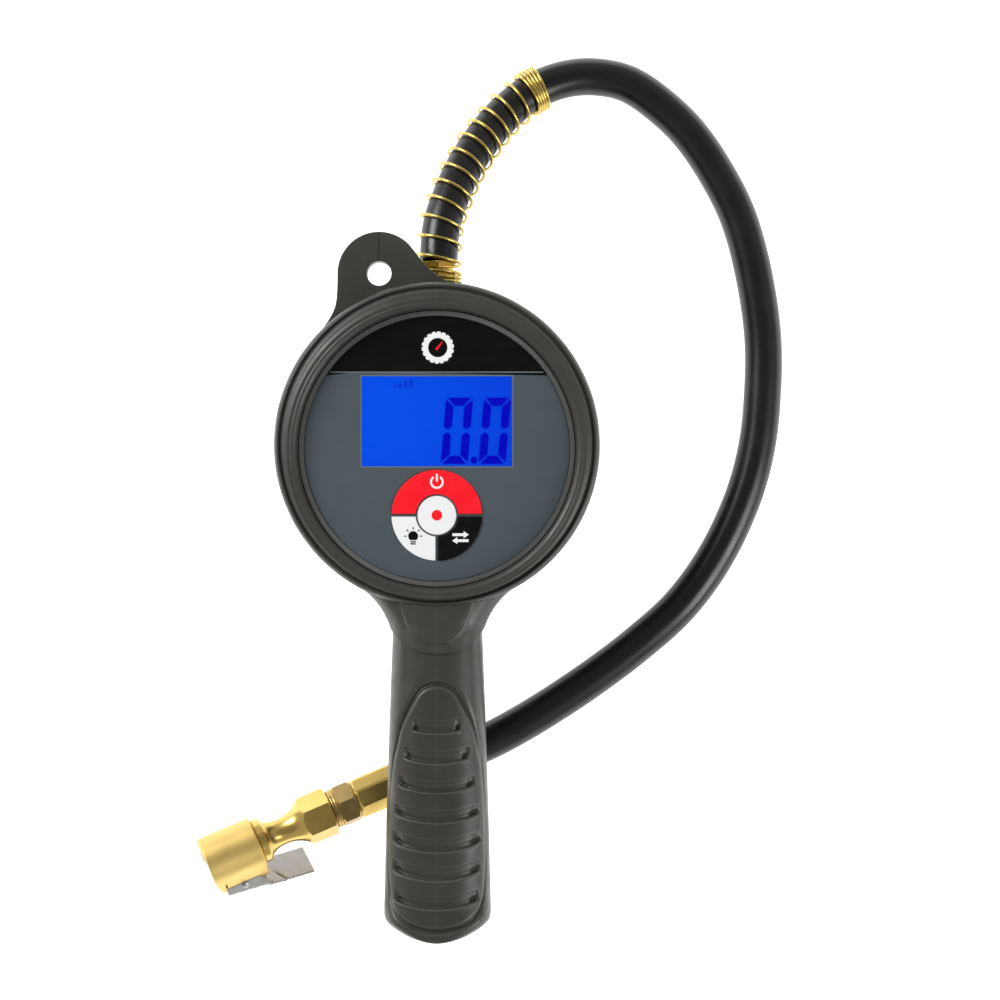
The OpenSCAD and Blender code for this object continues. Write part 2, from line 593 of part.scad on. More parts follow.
module chuck_ferrule() color([0.84, 0.69, 0.35]) on_chuck() difference() {
    union() {
        translate([ferrule_x0, 0, 0]) rotate([0, 90, 0])
            cylinder(h = 23.6, r = 13.2 / 2 / cos(22.5), $fn = 8);
        rod_x(0, 0, 77.9, ferrule_x1, 6.95);
    }
    rod_x(0, 0, 56, ferrule_x1 + over, crimp_r + 0.05);
    rod_x(0, 0, ferrule_x0 - over, 57, 3.15);
}
module hose_end_fitting() color([0.72, 0.58, 0.33]) on_chuck() difference() {
    union() {
        rod_x(0, 0, 38.2, 45.4, 4.85);
        rod_x(0, 0, 45.1, 46, 5.6);
        rod_x(0, 0, 45.9, fitting_x0 + 0.1, 6.5);
        hexagon_x(fitting_x0, ferrule_x0 - 0.05, 12.7, 18);
        rod_x(0, 0, ferrule_x0 - 0.1, 76, 3.1);
    }
    rod_x(0, 0, 37, 77, 2);
}
// Half of the turned body, as radius against place on the axis
body_profile = concat([[10.2, 0], [10.2, 5.9], [barrel_len, 5.9]],
    arc(barrel_len + 1, 6.9, 1, 180, 90, 4), arc(barrel_len + 1.6, 6.9, 1, 90, 20, 4),
    arc(waist_x, waist_r + 4.6, 4.6, 213, 270, 6), arc(waist_x + 1, waist_r + 14.5, 14.5, 270, 317, 8),
    [[hex_x1, 8.6], [hex_x1, 0]]);
module chuck_body() color([0.84, 0.69, 0.35]) on_chuck() difference() {
    intersection() {
        rotate([0, 90, 0]) rotate_extrude() polygon([for (p = body_profile) [p[1], p[0]]]);
        union() {
            rod_x(0, 0, 10, 31, 9);
            hexagon_x(30, hex_x1 + over, chuck_hex, 6.5);
        }
    }
    rod_x(0, 0, 9, 32, 3.2);
    rod_x(0, 0, 31, 39, 2);
    rod_x(0, 0, 38, hex_x1 + over, 4.9);
}
module chuck_barrel() color([0.86, 0.72, 0.4]) on_chuck() difference() {
    union() {
        rod_x(0, 0, 0, barrel_len, barrel_r);
        rotate([clip_roll, 0, 0]) box([1.2, -4.8, -11.4], [16.2, 4.8, 0]);
    }
    rod_x(0, 0, -over, mouth_depth, mouth_r);
    rod_x(0, 0, mouth_depth - 0.1, 10.1, 5);
    rod_x(0, 0, 10, barrel_len + over, 5.95);
    rotate([clip_roll, 0, 0]) {
        rod_x(0, -11.4, -over, 2, 1.2);
        box([2.4, -2.6, -14], [5, 2.6, -3]);
        rod_y(clip_pin_x, clip_pin_z, -8, 8, 1.25);
        rod_z(13.2, 0, -14, -7, 1.9);
    }
}
module chuck_seal() color([0.08, 0.08, 0.08]) on_chuck() difference() {
    rod_x(0, 0, mouth_depth + 0.05, 10, 4.9);
    rod_x(0, 0, 6, 11, 2);
}
module chuck_plunger() color([0.8, 0.65, 0.3]) on_chuck() {
    rod_x(0, 0, mouth_depth + 0.3, 16, 1.2);
    rod_x(0, 0, 12.6, 14.6, 2.9);
}
module chuck_spring() color([0.75, 0.75, 0.78])
    on_chuck() rotate([0, 90, 0]) coil(2.5, 0.35, 6, 14.7, 31.9);

module clip_lever() color([0.72, 0.72, 0.74]) on_clip() difference() {
    union() {
        clip_plate(tail_w / 2, [[15, clip_z0], [19, clip_z0], [33, clip_z0 - 3.9],
                                [33, clip_z1 - 3.9], [19, clip_z1], [15, clip_z1]]);
        box([2.9, -5.9, clip_z0], [15.1, 5.9, clip_z1]);
        for (s = [-1, 1]) mirror([0, s > 0 ? 0 : 1, 0])
            box([2.9, 5.9 - plate_t, clip_z0], [15.6, 5.9, -8.6]);
        box([3.7, -2.2, -13], [3.7 + plate_t, 2.2, -4.5]);
    }
    rod_y(clip_pin_x, clip_pin_z, -8, 8, 1.25 + slip);
}
module clip_plate(hy, points)
    translate([0, hy, 0]) rotate([90, 0, 0]) linear_extrude(2 * hy) polygon(points);
module clip_pin() color([0.75, 0.75, 0.78]) on_clip() {
    rod_y(clip_pin_x, clip_pin_z, -6.3, 6.3, 1.25);
    for (s = [-1, 1]) rod_y(clip_pin_x, clip_pin_z, s > 0 ? 6.1 : -6.7, s > 0 ? 6.7 : -6.1, 1.8);
}
module clip_spring() color([0.75, 0.75, 0.78])
    on_clip() translate([13.2, 0, 0]) coil(1.4, 0.3, 5, -12.3, -7.1);

// ---- what is drawn ----
head_boot();
handle_grip();
valve_body();
gauge_case();
face_overlay();
display_window();
lcd_panel();
lcd_connector();
backlight_panel();
circuit_board();
board_screws();
key_switches();
key_power();
key_light();
key_unit();
pressure_sensor();
sensor_seal();
rear_cover();
case_screws();
battery_door();
battery_door_screws();
batteries();
battery_contacts();
battery_leads();
squeeze_lever();
lever_pin();
valve_stem();
valve_seat();
stem_seal();
valve_spring();
valve_cap();
passage_plug();
inlet_bushing();
inlet_strainer();
outlet_fitting();
guard_spring();
hose();
chuck_ferrule();
hose_end_fitting();
chuck_body();
chuck_barrel();
chuck_seal();
chuck_plunger();
chuck_spring();
clip_lever();
clip_pin();
clip_spring();
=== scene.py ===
"""Looks of a hand-held digital tyre pressure gauge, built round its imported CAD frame."""
import json
import logging
import math
from dataclasses import dataclass, field
from enum import Enum
from typing import Callable, Iterable, Optional, Sequence

import bpy
import numpy as np
from mathutils import Matrix, Vector

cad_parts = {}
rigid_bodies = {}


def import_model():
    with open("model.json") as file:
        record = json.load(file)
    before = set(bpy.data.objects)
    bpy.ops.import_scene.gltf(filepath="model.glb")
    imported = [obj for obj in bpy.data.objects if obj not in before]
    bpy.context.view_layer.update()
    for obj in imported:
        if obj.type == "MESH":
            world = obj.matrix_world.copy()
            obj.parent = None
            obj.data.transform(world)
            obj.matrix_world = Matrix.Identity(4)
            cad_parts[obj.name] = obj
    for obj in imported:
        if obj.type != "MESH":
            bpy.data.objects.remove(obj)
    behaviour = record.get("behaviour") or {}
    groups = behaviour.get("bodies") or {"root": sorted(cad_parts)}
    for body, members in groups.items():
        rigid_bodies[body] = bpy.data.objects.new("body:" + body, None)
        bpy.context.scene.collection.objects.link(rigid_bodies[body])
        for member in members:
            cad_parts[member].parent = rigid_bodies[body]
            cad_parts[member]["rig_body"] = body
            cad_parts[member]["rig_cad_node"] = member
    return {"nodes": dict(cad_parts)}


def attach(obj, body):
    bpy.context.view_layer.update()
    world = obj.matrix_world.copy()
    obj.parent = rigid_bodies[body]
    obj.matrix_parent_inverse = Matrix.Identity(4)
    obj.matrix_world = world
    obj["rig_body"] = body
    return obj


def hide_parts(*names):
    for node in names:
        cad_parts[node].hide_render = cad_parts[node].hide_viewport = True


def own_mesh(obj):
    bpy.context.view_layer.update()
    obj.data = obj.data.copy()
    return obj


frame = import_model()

LOG = logging.getLogger("gauge")
MM = 0.001                      # one millimetre in scene units
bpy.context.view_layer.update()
ROOT = "gauge"                  # the body that everything fixed rides on
Point = Sequence[float]


# ---- colours and shader nodes -------------------------------------------------------------------

def srgb(code: str, alpha: float = 1.0) -> tuple[float, float, float, float]:
    """Turns an sRGB hex colour to a linear one.

    Args:
        code: Six hex digits.
        alpha: Opacity of the result.

    Returns:
        Linear red, green, blue and alpha.
    """
    def linear(v: float) -> float:
        """One channel, from display to linear."""
        return v / 12.92 if v <= 0.04045 else ((v + 0.055) / 1.055) ** 2.4
    r, g, b = (linear(int(code[i:i + 2], 16) / 255) for i in (0, 2, 4))
    return r, g, b, alpha


def add(tree: bpy.types.NodeTree, kind: str, inputs: Optional[dict] = None, **settings) -> bpy.types.Node:
    """Adds a shader node with its settings, and its values or links.

    Args:
        tree: Node tree of the material.
        kind: Node type, without its ShaderNode prefix.
        inputs: Input name or number to a value or to another node's output.
        **settings: Attributes of the node.

    Returns:
        The new node.
    """
    made = tree.nodes.new("ShaderNode" + kind)
    for name, value in settings.items():
        setattr(made, name, value)
    for name, value in (inputs or {}).items():
        if isinstance(value, bpy.types.NodeSocket):
            tree.links.new(value, made.inputs[name])
        else:
            made.inputs[name].default_value = value
    return made


def ramp(tree: bpy.types.NodeTree, value: bpy.types.NodeSocket, low: float, high: float,
         to_low: float = 0.0, to_high: float = 1.0) -> bpy.types.NodeSocket:
    """Maps a value from one range to another, clamped.

    Args:
        tree: Node tree of the material.
        value: The socket to map.
        low: Value that becomes to_low.
        high: Value that becomes to_high.
        to_low: Result at low.
        to_high: Result at high.

    Returns:
        The mapped value's socket.
    """
    return add(tree, "MapRange", {"Value": value, "From Min": low, "From Max": high,
                                  "To Min": to_low, "To Max": to_high}).outputs["Result"]


def mix(tree: bpy.types.NodeTree, amount, first, second) -> bpy.types.NodeSocket:
    """Mixes two colours.

    Args:
        tree: Node tree of the material.
        amount: Share of the second colour, a number or a socket.
        first: Colour or socket.
        second: Colour or socket.

    Returns:
        The mixed colour's socket.
    """
    return add(tree, "Mix", {0: amount, 6: first, 7: second}, data_type="RGBA").outputs[2]


@dataclass(frozen=True)
class Finish:
    """A surface finish: base colour, gloss, fine grain and slow colour change."""

    name: str
    colour: str
    tint: str = ""                  # colour of the patches, by default the base colour
    patch_mm: float = 18.0          # size of the patches
    patch_amount: float = 0.35
    metallic: float = 0.0
    roughness: float = 0.5
    rough_spread: float = 0.08      # how far the roughness wanders
    grain_mm: float = 0.5           # size of the grain that the bump shows
    grain_depth: float = 0.05       # depth of the grain in millimetres
    wear: str = ""                  # colour that edges are rubbed to
    wear_amount: float = 0.0
    specular: float = 0.5           # share of light mirrored straight back

    def vector(self, tree: bpy.types.NodeTree) -> bpy.types.NodeSocket:
        """Object coordinates in millimetres."""
        place = add(tree, "TexCoord").outputs["Object"]
        return add(tree, "Mapping", {"Vector": place, "Scale": (1000, 1000, 1000)}).outputs["Vector"]

    def grain(self, tree: bpy.types.NodeTree, vector: bpy.types.NodeSocket) -> bpy.types.NodeSocket:
        """Height of the fine grain, from 0 to 1."""
        return add(tree, "TexNoise", {"Vector": vector, "Scale": 1 / self.grain_mm, "Detail": 3.0,
                                      "Roughness": 0.55}).outputs["Fac"]

    def paint(self, tree: bpy.types.NodeTree, vector: bpy.types.NodeSocket) -> bpy.types.NodeSocket:
        """Base colour with its patches and worn edges."""
        patches = add(tree, "TexNoise", {"Vector": vector, "Scale": 1 / self.patch_mm,
                                         "Detail": 4.0}).outputs["Fac"]
        amount = ramp(tree, patches, 0.35, 0.7, 0.0, self.patch_amount)
        colour = mix(tree, amount, srgb(self.colour), srgb(self.tint or self.colour))
        if self.wear:
            edge = ramp(tree, add(tree, "NewGeometry").outputs["Pointiness"], 0.502, 0.56)
            rubbed = add(tree, "Math", {0: edge, 1: self.wear_amount}, operation="MULTIPLY").outputs[0]
            colour = mix(tree, rubbed, colour, srgb(self.wear))
        return colour

    def build(self) -> bpy.types.Material:
        """Makes the material, or gives the one that is already made.

        Returns:
            The material.
        """
        if self.name in bpy.data.materials:
            return bpy.data.materials[self.name]
        material = bpy.data.materials.new(self.name)
        material.use_nodes = True
        tree = material.node_tree
        shader = tree.nodes["Principled BSDF"]
        vector = self.vector(tree)
        tree.links.new(self.paint(tree, vector), shader.inputs["Base Color"])
        wander = add(tree, "TexNoise", {"Vector": vector, "Scale": 1 / (self.patch_mm * 0.4), "Detail": 2.0})
        rough = ramp(tree, wander.outputs["Fac"], 0.3, 0.7, self.roughness - self.rough_spread,
                     self.roughness + self.rough_spread)
        tree.links.new(rough, shader.inputs["Roughness"])
        bump = add(tree, "Bump", {"Height": self.grain(tree, vector), "Strength": 1.0,
                                  "Distance": self.grain_depth * MM})
        tree.links.new(bump.outputs["Normal"], shader.inputs["Normal"])
        shader.inputs["Metallic"].default_value = self.metallic
        shader.inputs["Specular IOR Level"].default_value = self.specular
        self.extras(tree, shader)
        return material

    def extras(self, tree: bpy.types.NodeTree, shader: bpy.types.Node) -> None:
        """Settings that only some finishes have."""


@dataclass(frozen=True)
class TurnedMetal(Finish):
    """Metal turned on a lathe: fine rings along its axis."""

    axis_turn: tuple[float, float, float] = (0.0, 0.0, 0.0)   # turns the axis to X, in radians
    ring_mm: float = 0.35

    def grain(self, tree: bpy.types.NodeTree, vector: bpy.types.NodeSocket) -> bpy.types.NodeSocket:
        """Rings that change along the axis and hardly round it."""
        turned = add(tree, "Mapping", {"Vector": vector, "Rotation": self.axis_turn})
        long = add(tree, "Mapping", {"Vector": turned.outputs["Vector"], "Scale": (1, 0.04, 0.04)})
        return add(tree, "TexNoise", {"Vector": long.outputs["Vector"], "Scale": 1 / self.ring_mm,
                                      "Detail": 2.0}).outputs["Fac"]


@dataclass(frozen=True)
class MouldedRubber(Finish):
    """Rubber from a two-part mould, with the mould's faint parting line at x = 0."""

    line_colour: str = "5a5a54"

    def paint(self, tree: bpy.types.NodeTree, vector: bpy.types.NodeSocket) -> bpy.types.NodeSocket:
        """Rubber colour, bloom patches, rubbed edges and the parting line."""
        colour = Finish.paint(self, tree, vector)
        across = add(tree, "SeparateXYZ", {"Vector": vector}).outputs["X"]
        away = add(tree, "Math", {0: across}, operation="ABSOLUTE").outputs[0]
        line = ramp(tree, away, 0.1, 0.28, 0.12, 0.0)
        return mix(tree, line, colour, srgb(self.line_colour))


@dataclass(frozen=True)
class Glowing(Finish):
    """A lit panel, brighter in its middle."""

    glow: str = "0046e1"
    glow_edge: str = "002fc0"
    centre_mm: tuple[float, float, float] = (0.0, 0.0, 0.0)
    reach_mm: tuple[float, float] = (24.0, 15.0)
    strength: float = 1.0

    def extras(self, tree: bpy.types.NodeTree, shader: bpy.types.Node) -> None:
        """Lights the panel from its middle out."""
        vector = self.vector(tree)
        moved = add(tree, "VectorMath", {0: vector, 1: self.centre_mm}, operation="SUBTRACT")
        shaped = add(tree, "VectorMath", {0: moved.outputs[0],
                     1: (1 / self.reach_mm[0], 1 / self.reach_mm[1], 0)}, operation="MULTIPLY")
        far = add(tree, "VectorMath", {0: shaped.outputs[0]}, operation="LENGTH").outputs["Value"]
        colour = mix(tree, ramp(tree, far, 0.2, 1.35), srgb(self.glow), srgb(self.glow_edge))
        tree.links.new(colour, shader.inputs["Emission Color"])
        shader.inputs["Emission Strength"].default_value = self.strength


@dataclass(frozen=True)
class ClearPlastic(Finish):
    """Clear acrylic, polished."""

    def extras(self, tree: bpy.types.NodeTree, shader: bpy.types.Node) -> None:
        """Lets the light through."""
        shader.inputs["Transmission Weight"].default_value = 1.0
        shader.inputs["IOR"].default_value = 1.2


CHUCK_YAW = math.radians(22.7)
CHUCK_TILT = math.radians(10.0)
CHUCK_AXIS_TURN = (0.0, -CHUCK_TILT, -CHUCK_YAW)

# Moulded EPDM rubber: satin, with a faint grey bloom and the mould's parting line
BOOT = MouldedRubber("boot_epdm", "353532", "40403c", roughness=0.42, grain_mm=0.35, grain_depth=0.03)
# The same rubber on the grip, a little smoother and rubbed lighter on its edges
GRIP = MouldedRubber("grip_epdm", "343431", "3d3d39", roughness=0.38, grain_mm=0.3, grain_depth=0.025,
                     wear="6b6a64", wear_amount=0.4)
# Extruded nitrile hose cover: nearly black and glossy, wiped smooth
HOSE = Finish("hose_nitrile", "0c0c0d", "131314", patch_mm=30, roughness=0.3, rough_spread=0.06,
              grain_mm=0.6, grain_depth=0.012)
# Free-machining brass, polished bright
BRASS = TurnedMetal("polished_brass", "e0c274", "d8b660", metallic=1.0, roughness=0.26, rough_spread=0.06,
                    grain_depth=0.004, axis_turn=CHUCK_AXIS_TURN)
# The same brass left as turned, satin
SATIN_BRASS = TurnedMetal("satin_brass", "e4c87e", "dcba68", metallic=1.0, roughness=0.48, rough_spread=0.06,
                          grain_depth=0.012, ring_mm=0.25, axis_turn=CHUCK_AXIS_TURN)
# Brass that has gone dull, with a brown cast
DULL_BRASS = TurnedMetal("dull_brass", "ccb077", "b4965c", metallic=1.0, roughness=0.34,
                         grain_depth=0.008, axis_turn=CHUCK_AXIS_TURN)
# Brass of the outlet and the valve, turned about the length of the gauge
OUTLET_BRASS = TurnedMetal("outlet_brass", "d9b65c", "c79d44", metallic=1.0, roughness=0.2,
                           grain_depth=0.006, axis_turn=(0, 0, math.pi / 2))
# Spring wire with a yellow zinc finish
WIRE = Finish("yellow_zinc_wire", "d8c06e", "bfa04e", patch_mm=6, metallic=1.0, roughness=0.24,
              grain_depth=0.002)
# Zinc-plated sheet steel, dull grey with fine rolling marks
SHEET_STEEL = Finish("zinc_sheet", "a9a8a6", "8e8d8c", patch_mm=5, metallic=0.9, roughness=0.42,
                     grain_mm=0.2, grain_depth=0.006)
# Zinc-plated screws and pins: bright grey, with a slight haze
STEEL = Finish("zinc_steel", "b4b4b6", "9a9a9c", patch_mm=4, metallic=1.0, roughness=0.34, grain_depth=0.004)
# Drawn music wire: darker and smoother than plated steel
SPRING_STEEL = Finish("music_wire", "9b9da0", "85878a", patch_mm=3, metallic=1.0, roughness=0.28,
                      grain_depth=0.002)
# Die-cast zinc alloy, as cast: grey, with a coarse skin
CASTING = Finish("die_cast_alloy", "a5a7aa", "8f9194", metallic=1.0, roughness=0.5, grain_mm=0.4,
                 grain_depth=0.05)
# Moulded ABS of the case, satin; its grey is painted lighter than the rim's own dark grey, a painted
# highlight that makes the rim show as a lighter ring
CASE_WITH_PAINTED_HIGHLIGHT = Finish("case_abs_painted_highlight", "5c5e5c", "666866", roughness=0.28, grain_mm=0.25, grain_depth=0.01)
# Textured ABS of the back cover and the battery door: dark and matt
BACK = Finish("back_abs", "2c2c2c", "333333", roughness=0.5, grain_mm=0.35, grain_depth=0.05)
# Polyester film printed on its back: a faint fine texture over flat ink
SLATE_FILM = Finish("slate_film", "4a545b", "4e585f", roughness=0.46, specular=0.3,
                    grain_mm=0.25, grain_depth=0.006)
BLACK_FILM = Finish("black_film", "060607", "080809", roughness=0.4, specular=0.15,
                    grain_mm=0.25, grain_depth=0.006)
# Screen inks: flat solid colours with the film's own satin
RED_INK = Finish("red_ink", "ff0822", "f8061f", roughness=0.38, grain_mm=0.25, grain_depth=0.006)
WHITE_INK = Finish("white_ink", "f4f6f8", "eceff2", roughness=0.4, grain_mm=0.25, grain_depth=0.006)
BLACK_INK = Finish("black_ink", "060607", "080809", roughness=0.38, specular=0.2,
                   grain_mm=0.25, grain_depth=0.006)
GREY_INK = Finish("grey_ink", "666f75", "60696f", roughness=0.4, grain_mm=0.25, grain_depth=0.006)
# Liquid crystal cell over a blue back light that is brightest at its left end
LCD = Glowing("lcd_cell", "000414", "000414", roughness=0.4, specular=0.0, grain_depth=0.0,
              centre_mm=(-20.0, 9.0, 54.6), reach_mm=(46.0, 40.0), glow="004ee9",
              glow_edge="0038d6", strength=1.0)
# Lit segments let only a deep blue through
LCD_INK = Glowing("lcd_segment", "000208", "000208", roughness=0.4, specular=0.0, grain_depth=0.0,
                  glow="0000c0", glow_edge="0000c0", strength=1.0)
# Segments that are off show faintly
LCD_FAINT = Glowing("lcd_idle_segment", "000208", "000208", roughness=0.4, specular=0.0, grain_depth=0.0,
                    glow="0033d0", glow_edge="0033d0", strength=1.0)
# Clear acrylic with a polished face. Its index is below the real 1.49, so that it mirrors less
WINDOW = ClearPlastic("window_acrylic", "ffffff", roughness=0.04, rough_spread=0.01, grain_depth=0.0)
# Milky acrylic light guide
LIGHT_GUIDE = Finish("light_guide", "e8eef8", roughness=0.3, grain_depth=0.01)
# Glass-epoxy board under green solder resist, glossy and blotched by its tracks
BOARD = Finish("board_fr4", "1c5c34", "174d2b", patch_mm=3, patch_amount=0.8, roughness=0.3, grain_depth=0.02)
# Striped contact rubber: pink silicone, soft and dull
CONTACT_RUBBER = Finish("zebra_rubber", "c98c96", "a86f7a", patch_mm=0.5, roughness=0.6)
# Black nylon of the key switches
SWITCH = Finish("switch_nylon", "2a2a2b", roughness=0.5)
# Nitrile seals: black with a low sheen
SEAL = Finish("nitrile_seal", "161616", "1e1e1e", roughness=0.45, grain_depth=0.01)
# Bright nickel plate, slightly warm
NICKEL = Finish("nickel_plate", "c9c6bd", "b8b5ab", patch_mm=4, metallic=1.0, roughness=0.22,
                grain_depth=0.003)
# Shrink sleeve of the cells: glossy, copper and black
CELL = Finish("cell_sleeve", "b0762c", "1c1a18", patch_mm=14, patch_amount=0.9, roughness=0.28,
              grain_depth=0.003)
# Red PVC of the battery leads
LEAD = Finish("lead_pvc", "a81e22", "8e181c", roughness=0.45, grain_depth=0.01)
# Powder coat: black with a slight orange peel
LEVER_COAT = Finish("powder_coat", "1d1d1e", "242425", roughness=0.42, grain_mm=0.5, grain_depth=0.03,
                    wear="56565a", wear_amount=0.5)
# White acrylic light table: lit from below, so that shadows on it are faint
FLOOR = Glowing("light_table", "f4f4f4", "f4f4f4", roughness=0.75, rough_spread=0.02, grain_depth=0.0,
                glow="ffffff", glow_edge="ffffff", strength=0.9)


# ---- modelling helpers --------------------------------------------------------------------------

def deselect() -> None:
    """Leaves edit mode and selects nothing."""
    if bpy.context.object and bpy.context.object.mode != "OBJECT":
        bpy.ops.object.mode_set(mode="OBJECT")
    bpy.ops.object.select_all(action="DESELECT")


def only(obj: bpy.types.Object) -> bpy.types.Object:
    """Makes one object the only selected and the active one."""
    deselect()
    obj.select_set(True)
    bpy.context.view_layer.objects.active = obj
    return obj


def settle(obj: bpy.types.Object, name: str, matrix: Optional[Matrix] = None) -> bpy.types.Object:
    """Names an object and bakes its place into its mesh.

    Args:
        obj: The object.
        name: Its name.
        matrix: A further placing, in scene units.

    Returns:
        The object, at the origin.
    """
    only(obj)
    obj.name = name
    obj.data.name = name
    if matrix is not None:
        obj.matrix_world = matrix @ obj.matrix_world
    bpy.ops.object.transform_apply(location=True, rotation=True, scale=True)
    return obj


def chain(points: Sequence[Point], closed: bool = False) -> bpy.types.Object:
    """Draws a line of edges through points by extruding one vertex.

    Args:
        points: Places in millimetres.
        closed: Whether the last point is joined to the first, and the outline filled.

    Returns:
        The object, in edit mode, with everything selected.
    """
    deselect()
    bpy.ops.mesh.primitive_plane_add(size=MM, location=[c * MM for c in points[0]])
    bpy.ops.object.mode_set(mode="EDIT")
    bpy.ops.mesh.select_all(action="SELECT")
    bpy.ops.mesh.merge(type="CENTER")
    for here, there in zip(points, points[1:]):
        step = [(b - a) * MM for a, b in zip(here, there)]
        bpy.ops.mesh.extrude_vertices_move(TRANSFORM_OT_translate={"value": step})
    bpy.ops.mesh.select_all(action="SELECT")
    if closed:
        bpy.ops.mesh.edge_face_add()
        bpy.ops.mesh.select_all(action="SELECT")
    return bpy.context.object


def tidy_mesh(merge: float = 0.002) -> None:
    """Merges doubles and turns the faces outwards, then leaves edit mode."""
    bpy.ops.mesh.select_all(action="SELECT")
    bpy.ops.mesh.remove_doubles(threshold=merge * MM)
    bpy.ops.mesh.normals_make_consistent(inside=False)
    bpy.ops.object.mode_set(mode="OBJECT")


def lathe(name: str, profile: Sequence[tuple[float, float]], steps: int = 96,
          matrix: Optional[Matrix] = None) -> bpy.types.Object:
    """Turns a profile round the Z axis.

    Args:
        name: Name of the piece.
        profile: Radius and height pairs in millimetres, an open or closed loop.
        steps: Facets round the axis.
        matrix: Placing of the finished shape.

    Returns:
        The turned piece.
    """
    obj = chain([(r, 0, z) for r, z in profile])
    bpy.ops.mesh.spin(steps=steps, angle=2 * math.pi, center=(0, 0, 0), axis=(0, 0, 1))
    tidy_mesh()
    return settle(obj, name, matrix)


def prism(name: str, outline: Sequence[tuple[float, float]], z0: float, z1: float,
          matrix: Optional[Matrix] = None) -> bpy.types.Object:
    """Raises a flat outline to a solid.

    Args:
        name: Name of the piece.
        outline: Corners in millimetres.
        z0: Lower face in millimetres.
        z1: Upper face in millimetres.
        matrix: Placing of the finished shape.

    Returns:
        The solid.
    """
    obj = chain([(x, y, z0) for x, y in outline], closed=True)
    bpy.ops.mesh.extrude_region_move(TRANSFORM_OT_translate={"value": (0, 0, (z1 - z0) * MM)})
    tidy_mesh()
    return settle(obj, name, matrix)


def modify(obj: bpy.types.Object, kind: str, **settings) -> bpy.types.Object:
    """Adds a modifier and applies it.

    Args:
        obj: The object.
        kind: Modifier type.
        **settings: The modifier's attributes.

    Returns:
        The same object.
    """
    only(obj)
    bpy.ops.object.modifier_add(type=kind)
    modifier = obj.modifiers[-1]
    for name, value in settings.items():
        setattr(modifier, name, value)
    bpy.ops.object.modifier_apply(modifier=modifier.name)
    return obj


def bevel(obj: bpy.types.Object, width: float, segments: int = 2, angle: float = 30) -> bpy.types.Object:
    """Rounds the sharp edges of a piece, by a width in millimetres."""
    return modify(obj, "BEVEL", width=width * MM, segments=segments, limit_method="ANGLE",
                  angle_limit=math.radians(angle), harden_normals=False)


def boolean(obj: bpy.types.Object, other: bpy.types.Object, how: str) -> bpy.types.Object:
    """Cuts, joins or intersects with another piece, which is used up."""
    modify(obj, "BOOLEAN", object=other, operation=how, solver="MANIFOLD")
    bpy.data.objects.remove(other)
    return obj


def smooth(obj: bpy.types.Object, angle: float = 35) -> bpy.types.Object:
    """Shades a piece smooth except at edges sharper than an angle in degrees."""
    only(obj)
    bpy.ops.object.shade_smooth_by_angle(angle=math.radians(angle))
    return modify(obj, "WEIGHTED_NORMAL", weight=50, keep_sharp=True)


def dress(obj: bpy.types.Object, finish: Finish, body: str = ROOT,
          replaces: Iterable[str] = ()) -> bpy.types.Object:
    """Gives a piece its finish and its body.

    Args:
        obj: The piece.
        finish: Its finish.
        body: The CAD body that it rides on.
        replaces: CAD nodes that it stands for.

    Returns:
        The piece.
    """
    obj.data.materials.clear()
    obj.data.materials.append(finish.build())
    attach(obj, body)
    if replaces:
        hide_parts(*replaces)
    return obj


def through(points: Sequence[Point], steps: int = 6, closed: bool = False) -> list[tuple[float, ...]]:
    """Smooth line through points, by Catmull and Rom's rule.

    Args:
        points: Points of any dimension.
        steps: New points for each stretch.
        closed: Whether the line runs back to its start.

    Returns:
        The points of the smooth line.
    """
    p = [np.array(q, float) for q in points]
    if closed:
        p = [p[-1]] + p + p[:2]
    else:
        p = [2 * p[0] - p[1]] + p + [2 * p[-1] - p[-2]]
    line = []
    for i in range(1, len(p) - 2):
        for k in range(steps):
            t = k / steps
            line.append(tuple(0.5 * (2 * p[i] + (p[i + 1] - p[i - 1]) * t
                        + (2 * p[i - 1] - 5 * p[i] + 4 * p[i + 1] - p[i + 2]) * t * t
                        + (3 * p[i] - p[i - 1] - 3 * p[i + 1] + p[i + 2]) * t ** 3)))
    return line if closed else line + [tuple(p[-2])]


def arc(cx: float, cy: float, r: float, a0: float, a1: float, n: int = 8) -> list[tuple[float, float]]:
    """Points of an arc.

    Args:
        cx: Centre.
        cy: Centre.
        r: Radius.
        a0: First angle in degrees.
        a1: Last angle in degrees.
        n: Number of chords.

    Returns:
        n + 1 points.
    """
    turn = [math.radians(a0 + (a1 - a0) * i / n) for i in range(n + 1)]
    return [(cx + r * math.cos(a), cy + r * math.sin(a)) for a in turn]


# ---- studio -------------------------------------------------------------------------------------

